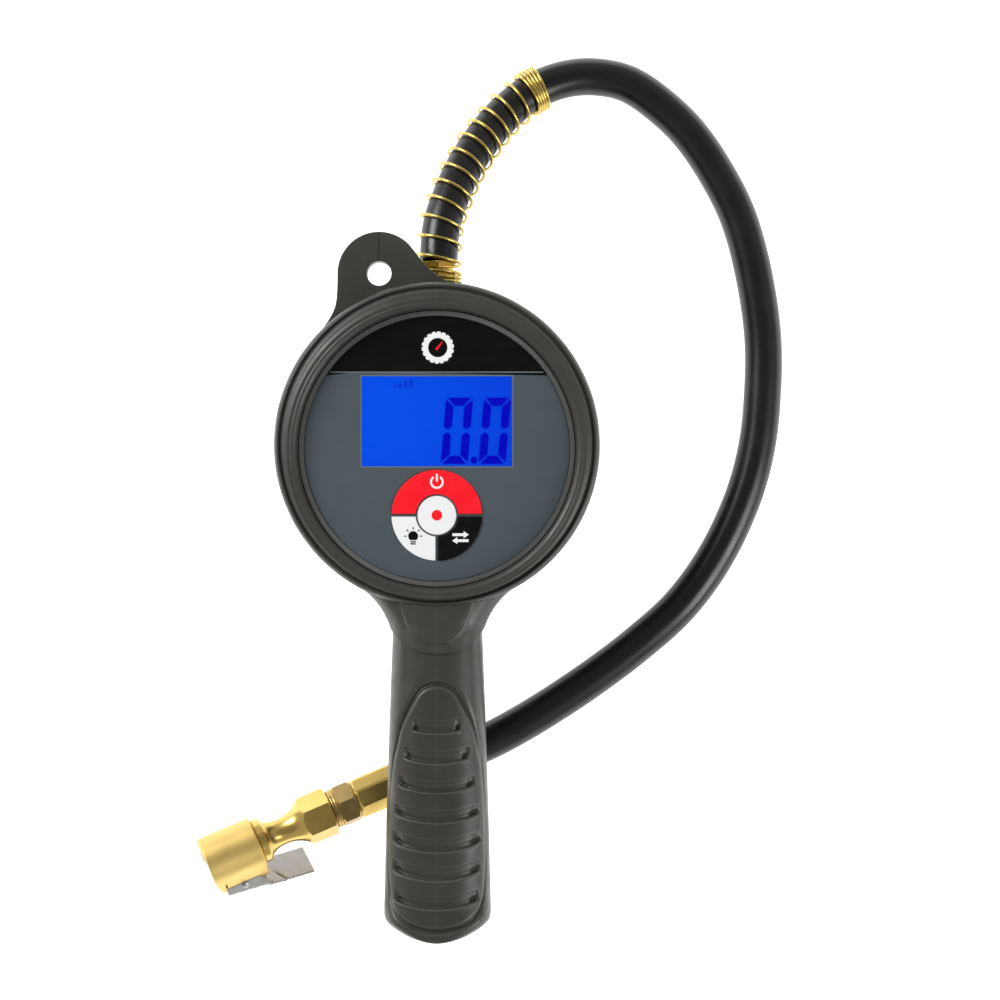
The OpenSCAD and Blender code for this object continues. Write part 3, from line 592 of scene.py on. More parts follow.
@dataclass
class Studio:
    """Floor, lights and camera."""

    face_z: float = 62.0            # the plane that the picture's scale holds at
    distance: float = 1000.0        # camera above that plane
    centre: tuple[float, float] = (20.3, -17.8)
    view_width: float = 320.0       # width seen at the face, in millimetres
    sensor: float = 36.0

    def floor(self) -> None:
        """Wide pale floor."""
        deselect()
        bpy.ops.mesh.primitive_plane_add(size=6.0, location=(0, 0, -0.0002))
        sheet = settle(bpy.context.object, "studio_floor")
        sheet.data.materials.append(FLOOR.build())

    def lamp(self, name: str, place: Point, size: tuple[float, float], power: float,
             look: Point = (20, -18, 20)) -> None:
        """Soft rectangular lamp that looks at the object.

        Args:
            name: Name of the lamp.
            place: Its place in millimetres.
            size: Width and height in millimetres.
            power: Watts.
            look: The point it faces, in millimetres.
        """
        data = bpy.data.lights.new(name, "AREA")
        data.shape = "RECTANGLE"
        data.size, data.size_y = size[0] * MM, size[1] * MM
        data.energy = power
        lamp = bpy.data.objects.new(name, data)
        bpy.context.scene.collection.objects.link(lamp)
        lamp.location = Vector(place) * MM
        lamp.rotation_euler = (Vector(look) - Vector(place)).to_track_quat("-Z", "Y").to_euler()

    def world(self) -> None:
        """Pale walls under a dark ceiling, which surfaces that face the camera mirror."""
        world = bpy.data.worlds.new("studio_world")
        bpy.context.scene.world = world
        world.use_nodes = True
        tree = world.node_tree
        way = add(tree, "TexCoord").outputs["Generated"]
        up = add(tree, "SeparateXYZ", {"Vector": way}).outputs["Z"]
        share = ramp(tree, up, 0.62, 0.9)
        colour = mix(tree, share, srgb("f2f0ec"), srgb("b4b0a9"))
        tree.links.new(colour, tree.nodes["Background"].inputs["Color"])
        tree.nodes["Background"].inputs["Strength"].default_value = 0.55

    def camera(self) -> None:
        """Camera straight above, at the picture's framing."""
        data = bpy.data.cameras.new("camera")
        data.sensor_width = self.sensor
        data.lens = self.sensor * self.distance / self.view_width
        data.clip_end = 20
        eye = bpy.data.objects.new("camera", data)
        bpy.context.scene.collection.objects.link(eye)
        eye.location = (self.centre[0] * MM, self.centre[1] * MM, (self.face_z + self.distance) * MM)
        bpy.context.scene.camera = eye
        bpy.context.scene.view_settings.view_transform = "Standard"

    def build(self) -> None:
        """Sets up the whole studio."""
        self.camera()
        self.floor()
        self.world()
        self.lamp("softbox_left", (-700, 480, 620), (500, 500), 8)
        self.lamp("softbox_right", (780, -420, 560), (420, 600), 5)


# ---- hose, spring and outlet --------------------------------------------------------------------

@dataclass
class HoseLine:
    """The air hose, its guard spring and the fitting it is pushed on."""

    radius: float = 6.28
    crimp_radius: float = 5.9
    mouth: tuple[float, float, float] = (-77.5, -139.0, 22.2)
    route: tuple[tuple[float, float, float], ...] = (
        (0, 61, 31), (1, 73, 29.5), (4.5, 84, 26.5), (9, 94, 22.5), (15, 103.5, 17.5), (22, 112, 13.5),
        (31, 119.5, 10.3), (42, 124, 8.5), (53, 125, 7), (64, 122.5, 6.4), (75, 115, 6.4),
        (85, 105, 6.4), (94, 91.5, 6.4), (101, 77, 6.4), (106, 58.5, 6.4), (109, 38, 6.4),
        (109, 19, 6.4), (107, 0, 6.4), (102, -18, 6.4), (93, -37, 6.4), (81, -53.5, 6.4),
        (66, -67, 6.4), (50, -79, 6.4), (34, -89.5, 6.4), (20, -97.5, 6.4), (8, -103, 7))
    ferrule_end: float = 80.0
    guard_radius: float = 7.35
    guard_wire: float = 0.52
    guard_start: float = -7.0
    guard_pitch: float = 5.9
    leg: float = 12.0
    pieces: list = field(default_factory=list)

    def chuck_point(self, u: float) -> tuple[float, ...]:
        """Point on the chuck's axis, a distance from its mouth."""
        way = (math.cos(CHUCK_TILT) * math.cos(CHUCK_YAW), math.cos(CHUCK_TILT) * math.sin(CHUCK_YAW),
               -math.sin(CHUCK_TILT))
        return tuple(m + u * w for m, w in zip(self.mouth, way))

    def centreline(self, steps: int) -> np.ndarray:
        """Smooth centreline from the outlet to inside the ferrule, in millimetres."""
        ends = [self.chuck_point(self.ferrule_end), self.chuck_point(self.ferrule_end - 3),
                self.chuck_point(57)]
        return np.array(through(list(self.route) + ends, steps))

    def hose(self) -> bpy.types.Object:
        """The hose itself, as one curve.

        Returns:
            The hose.
        """
        steps = 8
        points = self.centreline(steps)
        curve = bpy.data.curves.new("hose_cover", "CURVE")
        curve.dimensions = "3D"
        curve.bevel_depth = self.radius * MM
        curve.bevel_resolution = 10
        curve.use_fill_caps = True
        spline = curve.splines.new("POLY")
        spline.points.add(len(points) - 1)
        squeezed = len(self.route) * steps
        for i, (point, place) in enumerate(zip(spline.points, points)):
            point.co = (*(c * MM for c in place), 1)
            point.radius = 1.0 if i < squeezed else self.crimp_radius / self.radius
        spline.use_smooth = True
        obj = bpy.data.objects.new("hose_cover", curve)
        bpy.context.scene.collection.objects.link(obj)
        dress(obj, HOSE, replaces=["hose"])
        return obj

    def guard_place(self, turn: float) -> float:
        """Distance along the hose of a turn of the spring, from the spring's start."""
        base, open_turns, close_pitch = 6.0, 12, 1.2
        if turn < 2:
            return turn * 1.3
        if turn < 3:
            return 2.6 + (turn - 2) * (base - 2.6)
        if turn < 3 + open_turns:
            return base + (turn - 3) * self.guard_pitch
        return base + open_turns * self.guard_pitch + (turn - 3 - open_turns) * close_pitch

    def on_line(self, u: float) -> np.ndarray:
        """Point of the centreline, u legs from its start."""
        if u < 0:
            return np.array(self.route[0], float) + np.array([0, u * self.leg, 0])
        i = int(u)
        p = [np.array(q, float) for q in self.route]
        before = p[i - 1] if i else p[0] - np.array([0, self.leg, 0])
        t = u - i
        a, b, c, d = before, p[i], p[i + 1], p[i + 2]
        return 0.5 * (2 * b + (c - a) * t + (2 * a - 5 * b + 4 * c - d) * t * t
                      + (3 * b - a - 3 * c + d) * t ** 3)

    def guard_spring(self) -> bpy.types.Object:
        """Wire spring wound round the hose, close at its ends.

        Returns:
            The spring.
        """
        steps, turns = 36, 19.5
        curve = bpy.data.curves.new("guard_wire", "CURVE")
        curve.dimensions = "3D"
        curve.bevel_depth = self.guard_wire * MM
        curve.bevel_resolution = 3
        curve.use_fill_caps = True
        spline = curve.splines.new("POLY")
        count = int(turns * steps) + 1
        spline.points.add(count - 1)
        for i, point in enumerate(spline.points):
            u = (self.guard_start + self.guard_place(i / steps)) / self.leg
            here = self.on_line(u)
            way = self.on_line(u + 0.05) - self.on_line(u - 0.05)
            way /= np.linalg.norm(way)
            side = np.cross(way, (0, 0, 1))
            side /= np.linalg.norm(side)
            over = np.cross(side, way)
            a = 2 * math.pi * i / steps
            spot = here + self.guard_radius * (math.cos(a) * side + math.sin(a) * over)
            point.co = (*(spot * MM), 1)
        obj = bpy.data.objects.new("guard_wire", curve)
        bpy.context.scene.collection.objects.link(obj)
        only(obj)
        bpy.ops.object.convert(target="MESH")
        obj = settle(bpy.context.object, "guard_wire")
        smooth(obj, 60)
        return dress(obj, WIRE, replaces=["guard_spring"])

    def outlet(self) -> bpy.types.Object:
        """Hexagon fitting between the head and the hose.

        Returns:
            The fitting.
        """
        turn = Matrix.Translation((0, 0, 31 * MM)) @ Matrix.Rotation(-math.pi / 2, 4, "X")
        across_corners = 11.1 / 2 / math.cos(math.pi / 6)
        parts = []
        for start, end, facets, r in ((52.6, 57.4, 6, across_corners), (58.6, 60.95, 6, across_corners),
                                      (43.0, 60.0, 48, 5.0)):
            deselect()
            bpy.ops.mesh.primitive_cylinder_add(vertices=facets, radius=r * MM, depth=(end - start) * MM,
                                                location=(0, 0, (start + end) / 2 * MM))
            part = settle(bpy.context.object, "outlet_part")
            if facets == 6:
                bevel(part, 0.35, 3)
            parts.append(part)
        body = parts[0]
        for part in parts[1:]:
            boolean(body, part, "UNION")
        settle(body, "outlet_hexagon", turn)
        smooth(body)
        return dress(body, OUTLET_BRASS, replaces=["outlet_fitting"])

    def build(self, riders: list) -> None:
        """Args:
            riders: Further pieces on the hose's far end. Not used.
        """
        hose = self.hose()
        spring = self.guard_spring()
        self.outlet()
        line = self.centreline(8)
        length = float(np.linalg.norm(np.diff(line, axis=0), axis=1).sum()) * MM
        LOG.info("hose is %.4f m long", length)


# ---- surfaces made from a rolled sheet ----------------------------------------------------------

Surface = Callable[[np.ndarray, np.ndarray], np.ndarray]


def rolled(name: str, around: int, along: int, surface: Surface, capped: bool = False) -> bpy.types.Object:
    """Rolls a fine sheet into a tube of any form.

    Args:
        name: Name of the piece.
        around: Facets round the tube.
        along: Facets along it.
        surface: Gives places in millimetres from shares round (0 to 1) and along (0 to 1).
        capped: Whether the open ends are filled.

    Returns:
        The tube.
    """
    deselect()
    bpy.ops.mesh.primitive_grid_add(x_subdivisions=around, y_subdivisions=along, size=1.0)
    obj = bpy.context.object
    mesh = obj.data
    flat = np.empty(len(mesh.vertices) * 3)
    mesh.vertices.foreach_get("co", flat)
    flat = flat.reshape(-1, 3)
    placed = surface(flat[:, 0] + 0.5, flat[:, 1] + 0.5) * MM
    mesh.vertices.foreach_set("co", placed.ravel())
    mesh.update()
    bpy.ops.object.mode_set(mode="EDIT")
    bpy.ops.mesh.select_all(action="SELECT")
    bpy.ops.mesh.remove_doubles(threshold=0.001 * MM)
    if capped:
        bpy.ops.mesh.select_all(action="DESELECT")
        bpy.ops.mesh.select_non_manifold()
        bpy.ops.mesh.edge_face_add()
        bpy.ops.mesh.select_all(action="SELECT")
        bpy.ops.mesh.fill_holes(sides=0)
    bpy.ops.mesh.select_all(action="SELECT")
    bpy.ops.mesh.normals_make_consistent(inside=False)
    bpy.ops.object.mode_set(mode="OBJECT")
    return settle(obj, name)


def ease(value: np.ndarray, low: float, high: float) -> np.ndarray:
    """Smooth step from 0 at low to 1 at high."""
    t = np.clip((value - low) / (high - low), 0, 1)
    return t * t * (3 - 2 * t)


def ridge(value: np.ndarray, middle: float, width: float) -> np.ndarray:
    """Bell of height 1 about a middle."""
    return np.exp(-((value - middle) / width) ** 2)


@dataclass(frozen=True)
class Oval:
    """Superellipse section, with its points spread evenly by arc length."""

    power: float = 0.72
    aspect: float = 1.1             # width against depth, for the spacing only
    front_share: float = 0.68       # share of the facets on the front half

    def table(self) -> tuple[np.ndarray, np.ndarray]:
        """Angles and the share of the way round that each is at."""
        angle = np.linspace(-math.pi / 2, 3 * math.pi / 2, 6001)
        x = self.aspect * np.sign(np.cos(angle)) * np.abs(np.cos(angle)) ** self.power
        z = np.sign(np.sin(angle)) * np.abs(np.sin(angle)) ** self.power
        step = np.hypot(np.diff(x), np.diff(z))
        front = (z[1:] + z[:-1]) > -0.2
        weight = np.where(front, self.front_share / step[front].sum(),
                          (1 - self.front_share) / step[~front].sum())
        share = np.concatenate([[0], np.cumsum(step * weight)])
        return angle, share / share[-1]

    def at(self, share: np.ndarray, half_x: np.ndarray, half_z: np.ndarray,
           power: Optional[np.ndarray] = None) -> tuple[np.ndarray, ...]:
        """Points and outward normals of the section.

        Args:
            share: Share of the way round, from the back's middle.
            half_x: Half the width at each point.
            half_z: Half the depth at each point.
            power: The section's exponent at each point, by default the oval's own.

        Returns:
            x, z, and the normal's x and z.
        """
        angles, shares = self.table()
        angle = np.interp(share, shares, angles)
        c, s = np.cos(angle), np.sin(angle)
        e = self.power if power is None else power
        x, z = np.sign(c) * np.abs(c) ** e, np.sign(s) * np.abs(s) ** e
        out_x = np.sign(c) * np.abs(c) ** (2 - e) / half_x
        out_z = np.sign(s) * np.abs(s) ** (2 - e) / half_z
        size = np.hypot(out_x, out_z) + 1e-9
        return x * half_x, z * half_z, out_x / size, out_z / size


# ---- handle -------------------------------------------------------------------------------------

@dataclass
class Handle:
    """Rubber grip with its thumb pad, the casting, the lever and the air inlet."""

    top_y: float = -57.0
    end_y: float = -160.4
    middle_z: float = 45.0
    widths: tuple[tuple[float, float], ...] = (
        (-160, 17.45), (-152, 17.4), (-118, 16.5), (-87, 15.5), (-57, 14.4))
    depths: tuple[tuple[float, float], ...] = ((-160, 15.0), (-118, 15.0), (-87, 14.6), (-57, 14.2))
    end_radius: float = 25.0        # bow of the handle's end, seen from the front
    end_round: float = 1.6          # rounding of the handle's end, front to back
    around: int = 236
    along: int = 400
    # Right half of the pad's outline, from its top to its bottom
    pad: tuple[tuple[float, float], ...] = (
        (0, -76.9), (5.1, -78.6), (8.4, -83.4), (11.7, -90.4), (13.3, -96.6), (14.8, -104), (15.8, -118),
        (16.1, -132), (15.8, -141), (14.9, -147.3), (12.3, -151.8), (7.5, -154.9), (0, -156.3))
    # Each slot: top at its ends, height, half-width and bow
    slots: tuple[tuple[float, float, float, float], ...] = (
        (-87.9, 3.9, 7.7, 0.8), (-96.8, 3.9, 10.4, 1.7), (-106.2, 3.4, 12.2, 2.1), (-115.2, 3.7, 13.4, 2.4),
        (-123.9, 4.0, 14.0, 2.8), (-133.0, 4.1, 14.0, 2.9), (-142.8, 3.9, 13.4, 2.4))
    groove_depth: float = 0.85
    inlet_z: float = 47.0
    valve_y: float = -84.0

    def half_width(self, y: np.ndarray) -> np.ndarray:
        """Half the handle's width at a place along it."""
        plain = np.interp(y, *zip(*self.widths))
        rise = np.maximum(y - self.end_y, 1e-4)
        bow = np.sqrt(np.maximum(2 * self.end_radius * rise - rise ** 2, 1e-6))
        bow = np.where(rise > 12, 60.0, bow)
        return (plain ** -24.0 + bow ** -24.0) ** (-1 / 24)

    def half_depth(self, y: np.ndarray) -> np.ndarray:
        """Half the handle's depth at a place along it, rounded over at the end."""
        plain = np.interp(y, *zip(*self.depths))
        short = np.clip(self.end_round - (y - self.end_y), 0, self.end_round)
        return plain - (self.end_round - np.sqrt(np.maximum(self.end_round ** 2 - short ** 2, 0)))

    def pad_distance(self, x: np.ndarray, y: np.ndarray) -> np.ndarray:
        """Signed distance from the pad's outline, positive inside it."""
        before, after = self.pad[1], self.pad[-2]
        outline = np.array(through([(-before[0], before[1]), *self.pad, (-after[0], after[1])], 10))
        outline = outline[outline[:, 0] >= 0]
        turn = np.concatenate([[0], np.hypot(*np.diff(outline, axis=0).T).cumsum()])
        steps = np.linspace(0, turn[-1], 500)
        line = np.column_stack([np.interp(steps, turn, outline[:, 0]), np.interp(steps, turn, outline[:, 1])])
        away = np.full(len(x), 1e3)
        for lx, ly in line:
            away = np.minimum(away, np.hypot(np.abs(x) - lx, y - ly))
        order = np.argsort(-line[:, 1])
        edge = np.interp(-y, -line[order, 1], line[order, 0], left=0, right=0)
        return np.where(np.abs(x) < edge, away, -away)

    def slot_depth(self, x: np.ndarray, y: np.ndarray) -> np.ndarray:
        """Depth of the seven scooped slots: shallow at the top, deep at the ends, with a raised lower lip."""
        depth = np.zeros(len(x))
        for top, height, half, bow in self.slots:
            s = np.abs(x) / half
            upper = top - bow * (1 - np.clip(s, 0, 1) ** 2)
            t = (upper - y) / height
            scoop = 0.35 * ease(t, -0.02, 0.10) + 0.65 * ease(t, 0.3, 0.85) - 1.0 * ease(t, 0.86, 1.02)
            lip = ridge(t, 1.1, 0.08)
            ends = 0.66 + 0.7 * ease(s, 0.74, 0.9)
            inside = 1 - ease(s, 0.93, 1.02)
            depth += (1.25 * ends * scoop - 0.42 * lip * (1 - ease(s, 0.86, 1.0))) * inside
        return depth

    def surface(self, share: np.ndarray, along: np.ndarray) -> np.ndarray:
        """Places on the grip, with its pad, groove and slots pressed in."""
        split, rounded = 0.88, 9.0
        straight = self.top_y + (self.end_y + rounded - self.top_y) * along / split
        q = np.clip((along - split) / (1 - split), 0, 1)
        y = np.where(along < split, straight, self.end_y + 0.02 + (rounded - 0.02) * (1 - q) ** 2)
        squarer = np.interp(y, [self.end_y, -156, -146], [0.42, 0.5, 0.72])
        x, z, out_x, out_z = Oval().at(share, self.half_width(y), self.half_depth(y), squarer)
        front = ease(z, 1.0, 5.0)
        inside = self.pad_distance(x, y)
        slope = np.maximum(out_z, 0.35)          # the groove keeps its width where the side falls away
        groove = self.groove_depth * np.exp(-(inside / (0.55 * slope + 0.12)) ** 2)
        shoulder = 0.3 * ease(inside, 0.0, 1.6)
        press = front * (groove - shoulder + 0.3 * ease(inside, -2.2, -0.4) * (1 - ease(inside, -0.4, 0.6))
                         + self.slot_depth(x, y))
        return np.column_stack([x - out_x * press, y, self.middle_z + z - out_z * press])

    def cutter(self, name: str, low: Point, high: Point, round_by: float = 1.0) -> bpy.types.Object:
        """Rounded block that cuts a pocket, between two corners in millimetres."""
        deselect()
        middle = [(a + b) / 2 * MM for a, b in zip(low, high)]
        bpy.ops.mesh.primitive_cube_add(size=1, location=middle,
                                        scale=[(b - a) * MM for a, b in zip(low, high)])
        block = settle(bpy.context.object, name)
        return bevel(block, round_by, 3)

    def grip(self) -> bpy.types.Object:
        """Rubber grip.

        Returns:
            The grip.
        """
        grip = rolled("grip_rubber", self.around, self.along, self.surface, capped=True)
        deselect()
        bpy.ops.mesh.primitive_cylinder_add(vertices=72, radius=8.3 * MM, depth=12 * MM,
                                            rotation=(math.pi / 2, 0, 0),
                                            location=(0, -158 * MM, self.inlet_z * MM))
        boolean(grip, settle(bpy.context.object, "inlet_cut"), "DIFFERENCE")
        boolean(grip, self.cutter("lever_pocket", (-12.2, -72, 25), (12.2, -50, 37), 1.5), "DIFFERENCE")
        deselect()
        bpy.ops.mesh.primitive_cylinder_add(vertices=64, radius=8.1 * MM, depth=12 * MM,
                                            location=(0, self.valve_y * MM, 29 * MM))
        boolean(grip, settle(bpy.context.object, "valve_cut"), "DIFFERENCE")
        smooth(grip, 50)
        return dress(grip, GRIP, replaces=["handle_grip"])

    def lever(self) -> bpy.types.Object:
        """Squeeze lever: a pressed steel channel with a curled tail.

        Returns:
            The lever.
        """
        lever = refined("squeeze_lever", "lever_channel", 0.55, 3)
        return dress(lever, LEVER_COAT, body="squeeze_lever", replaces=["squeeze_lever"])

    def build(self) -> None:
        """Builds the handle's pieces."""
        self.grip()
        self.lever()
        casting = refined("valve_body", "casting", 0.5, 2)
        dress(casting, CASTING, replaces=["valve_body"])
        inlet = refined("inlet_bushing", "inlet_hexagon", 0.3, 2)
        dress(inlet, OUTLET_BRASS, replaces=["inlet_bushing"])


def refined(node: str, name: str, width: float, segments: int = 2, angle: float = 40) -> bpy.types.Object:
    """Copies a CAD node, joins its loose faces and rounds its edges.

    Args:
        node: CAD node.
        name: Name of the new piece.
        width: Width of the rounding in millimetres.
        segments: Facets of the rounding.
        angle: Edges sharper than this are rounded, in degrees.

    Returns:
        The new piece.
    """
    only(frame["nodes"][node])
    bpy.ops.object.duplicate()
    copy = bpy.context.object
    copy.parent = None
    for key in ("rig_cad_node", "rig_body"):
        del copy[key]
    bpy.ops.mesh.customdata_custom_splitnormals_clear()
    bpy.ops.object.mode_set(mode="EDIT")
    bpy.ops.mesh.select_all(action="SELECT")
    bpy.ops.mesh.remove_doubles(threshold=0.003 * MM)
    bpy.ops.mesh.dissolve_limited(angle_limit=math.radians(0.6))
    bpy.ops.object.mode_set(mode="OBJECT")
    settle(copy, name)
    if width:
        bevel(copy, width, segments, angle)
    return smooth(copy, 40)


def sunk(obj: bpy.types.Object, inner: float, outer: float, shift: float = -1.3) -> bpy.types.Object:
    """Moves a round piece's front rim a little towards the handle, as the boot holds it.

    Args:
        obj: The piece.
        inner: Points nearer the axis than this stay, in millimetres.
        outer: Points further from the axis than this stay.
        shift: The movement in millimetres.

    Returns:
        The same piece.
    """
    for vertex in obj.data.vertices:
        r = math.hypot(vertex.co.x, vertex.co.y) / MM
        if inner < r < outer and vertex.co.z > 50 * MM:
            vertex.co.y += shift * MM * min(1.0, (outer - r) / 1.5)
    return obj


# ---- head ---------------------------------------------------------------------------------------

@dataclass
class Head:
    """Rubber boot with its ring, hang tab and neck, and the covers behind."""

    inner_r: float = 44.6
    outer_r: float = 52.5
    back_r: float = 39.0
    bore_r: float = 48.2                          # inside of the ring, which the neck stops at
    outlet_r: float = 7.4                         # hole for the hose's outlet
    outlet_y: float = 50.0
    outlet_z: float = 31.0
    tab_centre: tuple[float, float] = (-18.9, 55.7)
    tab_r: float = 13.5
    tab_z: tuple[float, float] = (41.0, 49.0)
    hole_r: float = 4.0
    fillet_r: float = 25.0                        # flare between the ring and the handle
    fillet_at: tuple[float, float] = (39.2, -66.85)
    tongue_y: float = -67.2
    skin: float = 0.75                            # how far the neck stands proud of the grip

    def ring(self) -> bpy.types.Object:
        """Ring of the boot: crowned lip with fine ridges, a groove and the rounded side, closed behind.

        Returns:
            The ring.
        """
        crests = [(self.inner_r, 57.8), (44.62, 59.7), (44.75, 60.5), (45.1, 61.2), (45.6, 61.62),
                  (46.2, 61.88), (46.6, 61.92), (46.95, 61.78), (47.25, 61.7), (47.55, 61.78),
                  (47.95, 61.84), (48.35, 61.7),
                  (48.7, 61.42), (49.0, 61.3), (49.35, 61.12), (49.7, 60.6), (49.95, 59.9), (50.15, 59.45)]
        outer = [(50.15, 59.45), (50.35, 59.42), (50.6, 59.85), (50.95, 60.15), (51.35, 60.05), (51.8, 59.5),
                 (52.2, 58.5), (52.42, 57.2)]
        side = [(52.5, 55.5), (52.5, 52.4), (52.2, 52.0), (52.2, 51.4), (52.5, 51.0), (52.5, 29.2),
                (52.2, 28.8), (52.2, 28.2), (52.5, 27.8), (52.5, 20.4)]
        back = arc(50.3, 20.2, 2.2, 0, -90, 8) + [(self.back_r + 0.5, 18.0), (self.back_r, 18.4),
                                                  (self.back_r, 22.0), (self.inner_r, 22.0)]
        profile = through(crests, 2)[:-1] + through(outer, 3) + side + back
        return sunk(lathe("boot_ring", profile + [profile[0]], 168), 40.0, 49.9)

    def tab(self) -> bpy.types.Object:
        """Hang tab with its hole and the thin moulding line above the hole.

        Returns:
            The tab.
        """
        cx, cy = self.tab_centre
        left = [(-44.9, 27.2), (-41.3, 31.9), (-37.6, 37.2), (-34.6, 41.7), (-33.0, 45.6), (-32.5, 50.5),
                (-32.4, 55.7)]
        crown = arc(cx, cy, self.tab_r, 180, 44, 22)
        right = [(-7.2, 62.6), (-4.6, 59.2), (-1.8, 56.4), (1.6, 54.0), (5.6, 52.1)]
        under = [(4.0, 46.0), (-20, 42.0), (-36, 28.5)]
        outline = through(left, 3)[:-1] + crown + through(right, 3) + under
        tab = prism("hang_tab", outline, *self.tab_z)
        deselect()
        bpy.ops.mesh.primitive_cylinder_add(vertices=64, radius=self.hole_r * MM, depth=20 * MM,
                                            location=(cx * MM, cy * MM, self.tab_z[1] * MM))
        boolean(tab, settle(bpy.context.object, "tab_hole"), "DIFFERENCE")
        bevel(tab, 0.9, 4, 50)
        deselect()
        bpy.ops.mesh.primitive_cube_add(size=1, scale=(0.22 * MM, 12 * MM, 0.7 * MM), rotation=(0, 0, 0),
                                        location=((cx - 0.1) * MM, (cy + 9.5) * MM, self.tab_z[1] * MM))
        return boolean(tab, settle(bpy.context.object, "moulding_line"), "DIFFERENCE")

    def neck_width(self, y: np.ndarray) -> np.ndarray:
        """Half the neck's width, from the ring's curve through the flare to the handle."""
        cx, cy = self.fillet_at
        flare = cx - np.sqrt(np.maximum(self.fillet_r ** 2 - (y - cy) ** 2, 0))
        ring = np.sqrt(np.maximum((self.outer_r - 0.2) ** 2 - y ** 2, 1))
        meet = cy * self.outer_r / (self.outer_r + self.fillet_r)
        return np.where(y > meet, ring, np.maximum(flare, Handle().half_width(y) + self.skin))

    def embossed(self, x: np.ndarray, y: np.ndarray) -> np.ndarray:
        """Share of the raised panel on the neck's front."""
        half = np.interp(y, [-64.2, -63.6, -62.0, -60.0, -57.0, -53.0, -46.0],
                         [0, 3.6, 6.4, 8.4, 9.9, 11.2, 13.2])
        low = ease(y, -64.6, -63.4)
        return ease(half - np.abs(x), -0.6, 0.7) * low

    def neck_surface(self, share: np.ndarray, along: np.ndarray) -> np.ndarray:
        """Places on the neck."""
        y = -38.0 + (-70.0 + 38.0) * along
        handle = Handle()
        top = np.interp(y, [-70, -66, -60, -56, -51, -46, -38], [60.0, 60.05, 60.0, 59.7, 58.9, 58.4, 58.2])
        low = np.interp(y, [-70, -60, -52, -38], [29.9, 29.8, 28.4, 26.0])
        power = np.interp(y, [-70, -58, -46], [0.72, 0.70, 0.5])
        x, z, out_x, out_z = Oval(aspect=1.3).at(share, self.neck_width(y), (top - low) / 2, power)
        lift = 0.5 * self.embossed(x, y) * ease(z, 4.0, 9.0)
        return np.column_stack([x + out_x * lift, y, (top + low) / 2 + z + out_z * lift])

    def neck(self) -> bpy.types.Object:
        """Neck: a sleeve over the handle's top, cut to a rounded tongue.

        Returns:
            The neck.
        """
        neck = rolled("boot_neck", 220, 130, self.neck_surface)
        modify(neck, "SOLIDIFY", thickness=1.7 * MM, offset=-1.0, use_even_offset=True)
        tongue = [(60, -30), (30, -52), (16.6, -57.4), (15.2, -59.4), (12.9, -62.0), (9.6, -64.6),
                  (5.4, -66.5), (0, self.tongue_y)]
        half = [tongue[0], tongue[1]] + through(tongue[2:], 6)
        outline = half + [(-a, b) for a, b in reversed(half[:-1])]
        boolean(neck, prism("tongue_outline", outline, 0, 80), "INTERSECT")
        deselect()
        bpy.ops.mesh.primitive_cylinder_add(vertices=168, radius=self.bore_r * MM, depth=80 * MM,
                                            location=(0, 0, 40 * MM))
        boolean(neck, settle(bpy.context.object, "head_bore"), "DIFFERENCE")
        boolean(neck, Handle().cutter("lever_gap", (-12.2, -75, 22), (12.2, -61.5, 34), 1.0), "DIFFERENCE")
        return neck

    def boot(self) -> bpy.types.Object:
        """The whole rubber boot, one moulding.

        Returns:
            The boot.
        """
        boot = self.ring()
        boolean(boot, self.tab(), "UNION")
        boolean(boot, self.neck(), "UNION")
        deselect()
        bpy.ops.mesh.primitive_cylinder_add(vertices=64, radius=self.outlet_r * MM, depth=16 * MM,
                                            rotation=(math.pi / 2, 0, 0),
                                            location=(0, self.outlet_y * MM, self.outlet_z * MM))
        boolean(boot, settle(bpy.context.object, "outlet_hole"), "DIFFERENCE")
        only(boot)
        for polygon in boot.data.polygons:
            flat = abs(polygon.normal.z) > 0.99999
            polygon.select = flat and any(abs(polygon.center.z - z * MM) < 0.01 * MM for z in self.tab_z)
        bpy.ops.object.mode_set(mode="EDIT")
        bpy.ops.mesh.select_mode(type="FACE")
        bpy.ops.mesh.dissolve_limited(angle_limit=math.radians(0.2))
        bpy.ops.mesh.select_mode(type="VERT")
        bpy.ops.object.mode_set(mode="OBJECT")
        smooth(boot, 42)
        return dress(boot, BOOT, replaces=["head_boot"])

    def build(self) -> None:
        """Builds the boot and the covers behind it."""
        self.boot()
        back = refined("rear_cover", "back_shell", 0.8, 3)
        dress(back, BACK, replaces=["rear_cover"])
        door = refined("battery_door", "cell_door", 0.35, 2)
        dress(door, BACK, replaces=["battery_door"])
        rim = sunk(refined("gauge_case", "case_rim", 0.35, 3), 40.0, 46.5)
        # the rim's lighter grey is partly its own grey ABS and partly a painted highlight
        dress(rim, CASE_WITH_PAINTED_HIGHLIGHT, replaces=["gauge_case"])


# ---- face, display and keys ---------------------------------------------------------------------

class Key(Enum):
    """The three keys, each with its body and its material slot."""

    POWER = ("key_power", "key_red")
    LIGHT = ("key_light", "key_white")
    UNIT = ("key_unit", "key_black")


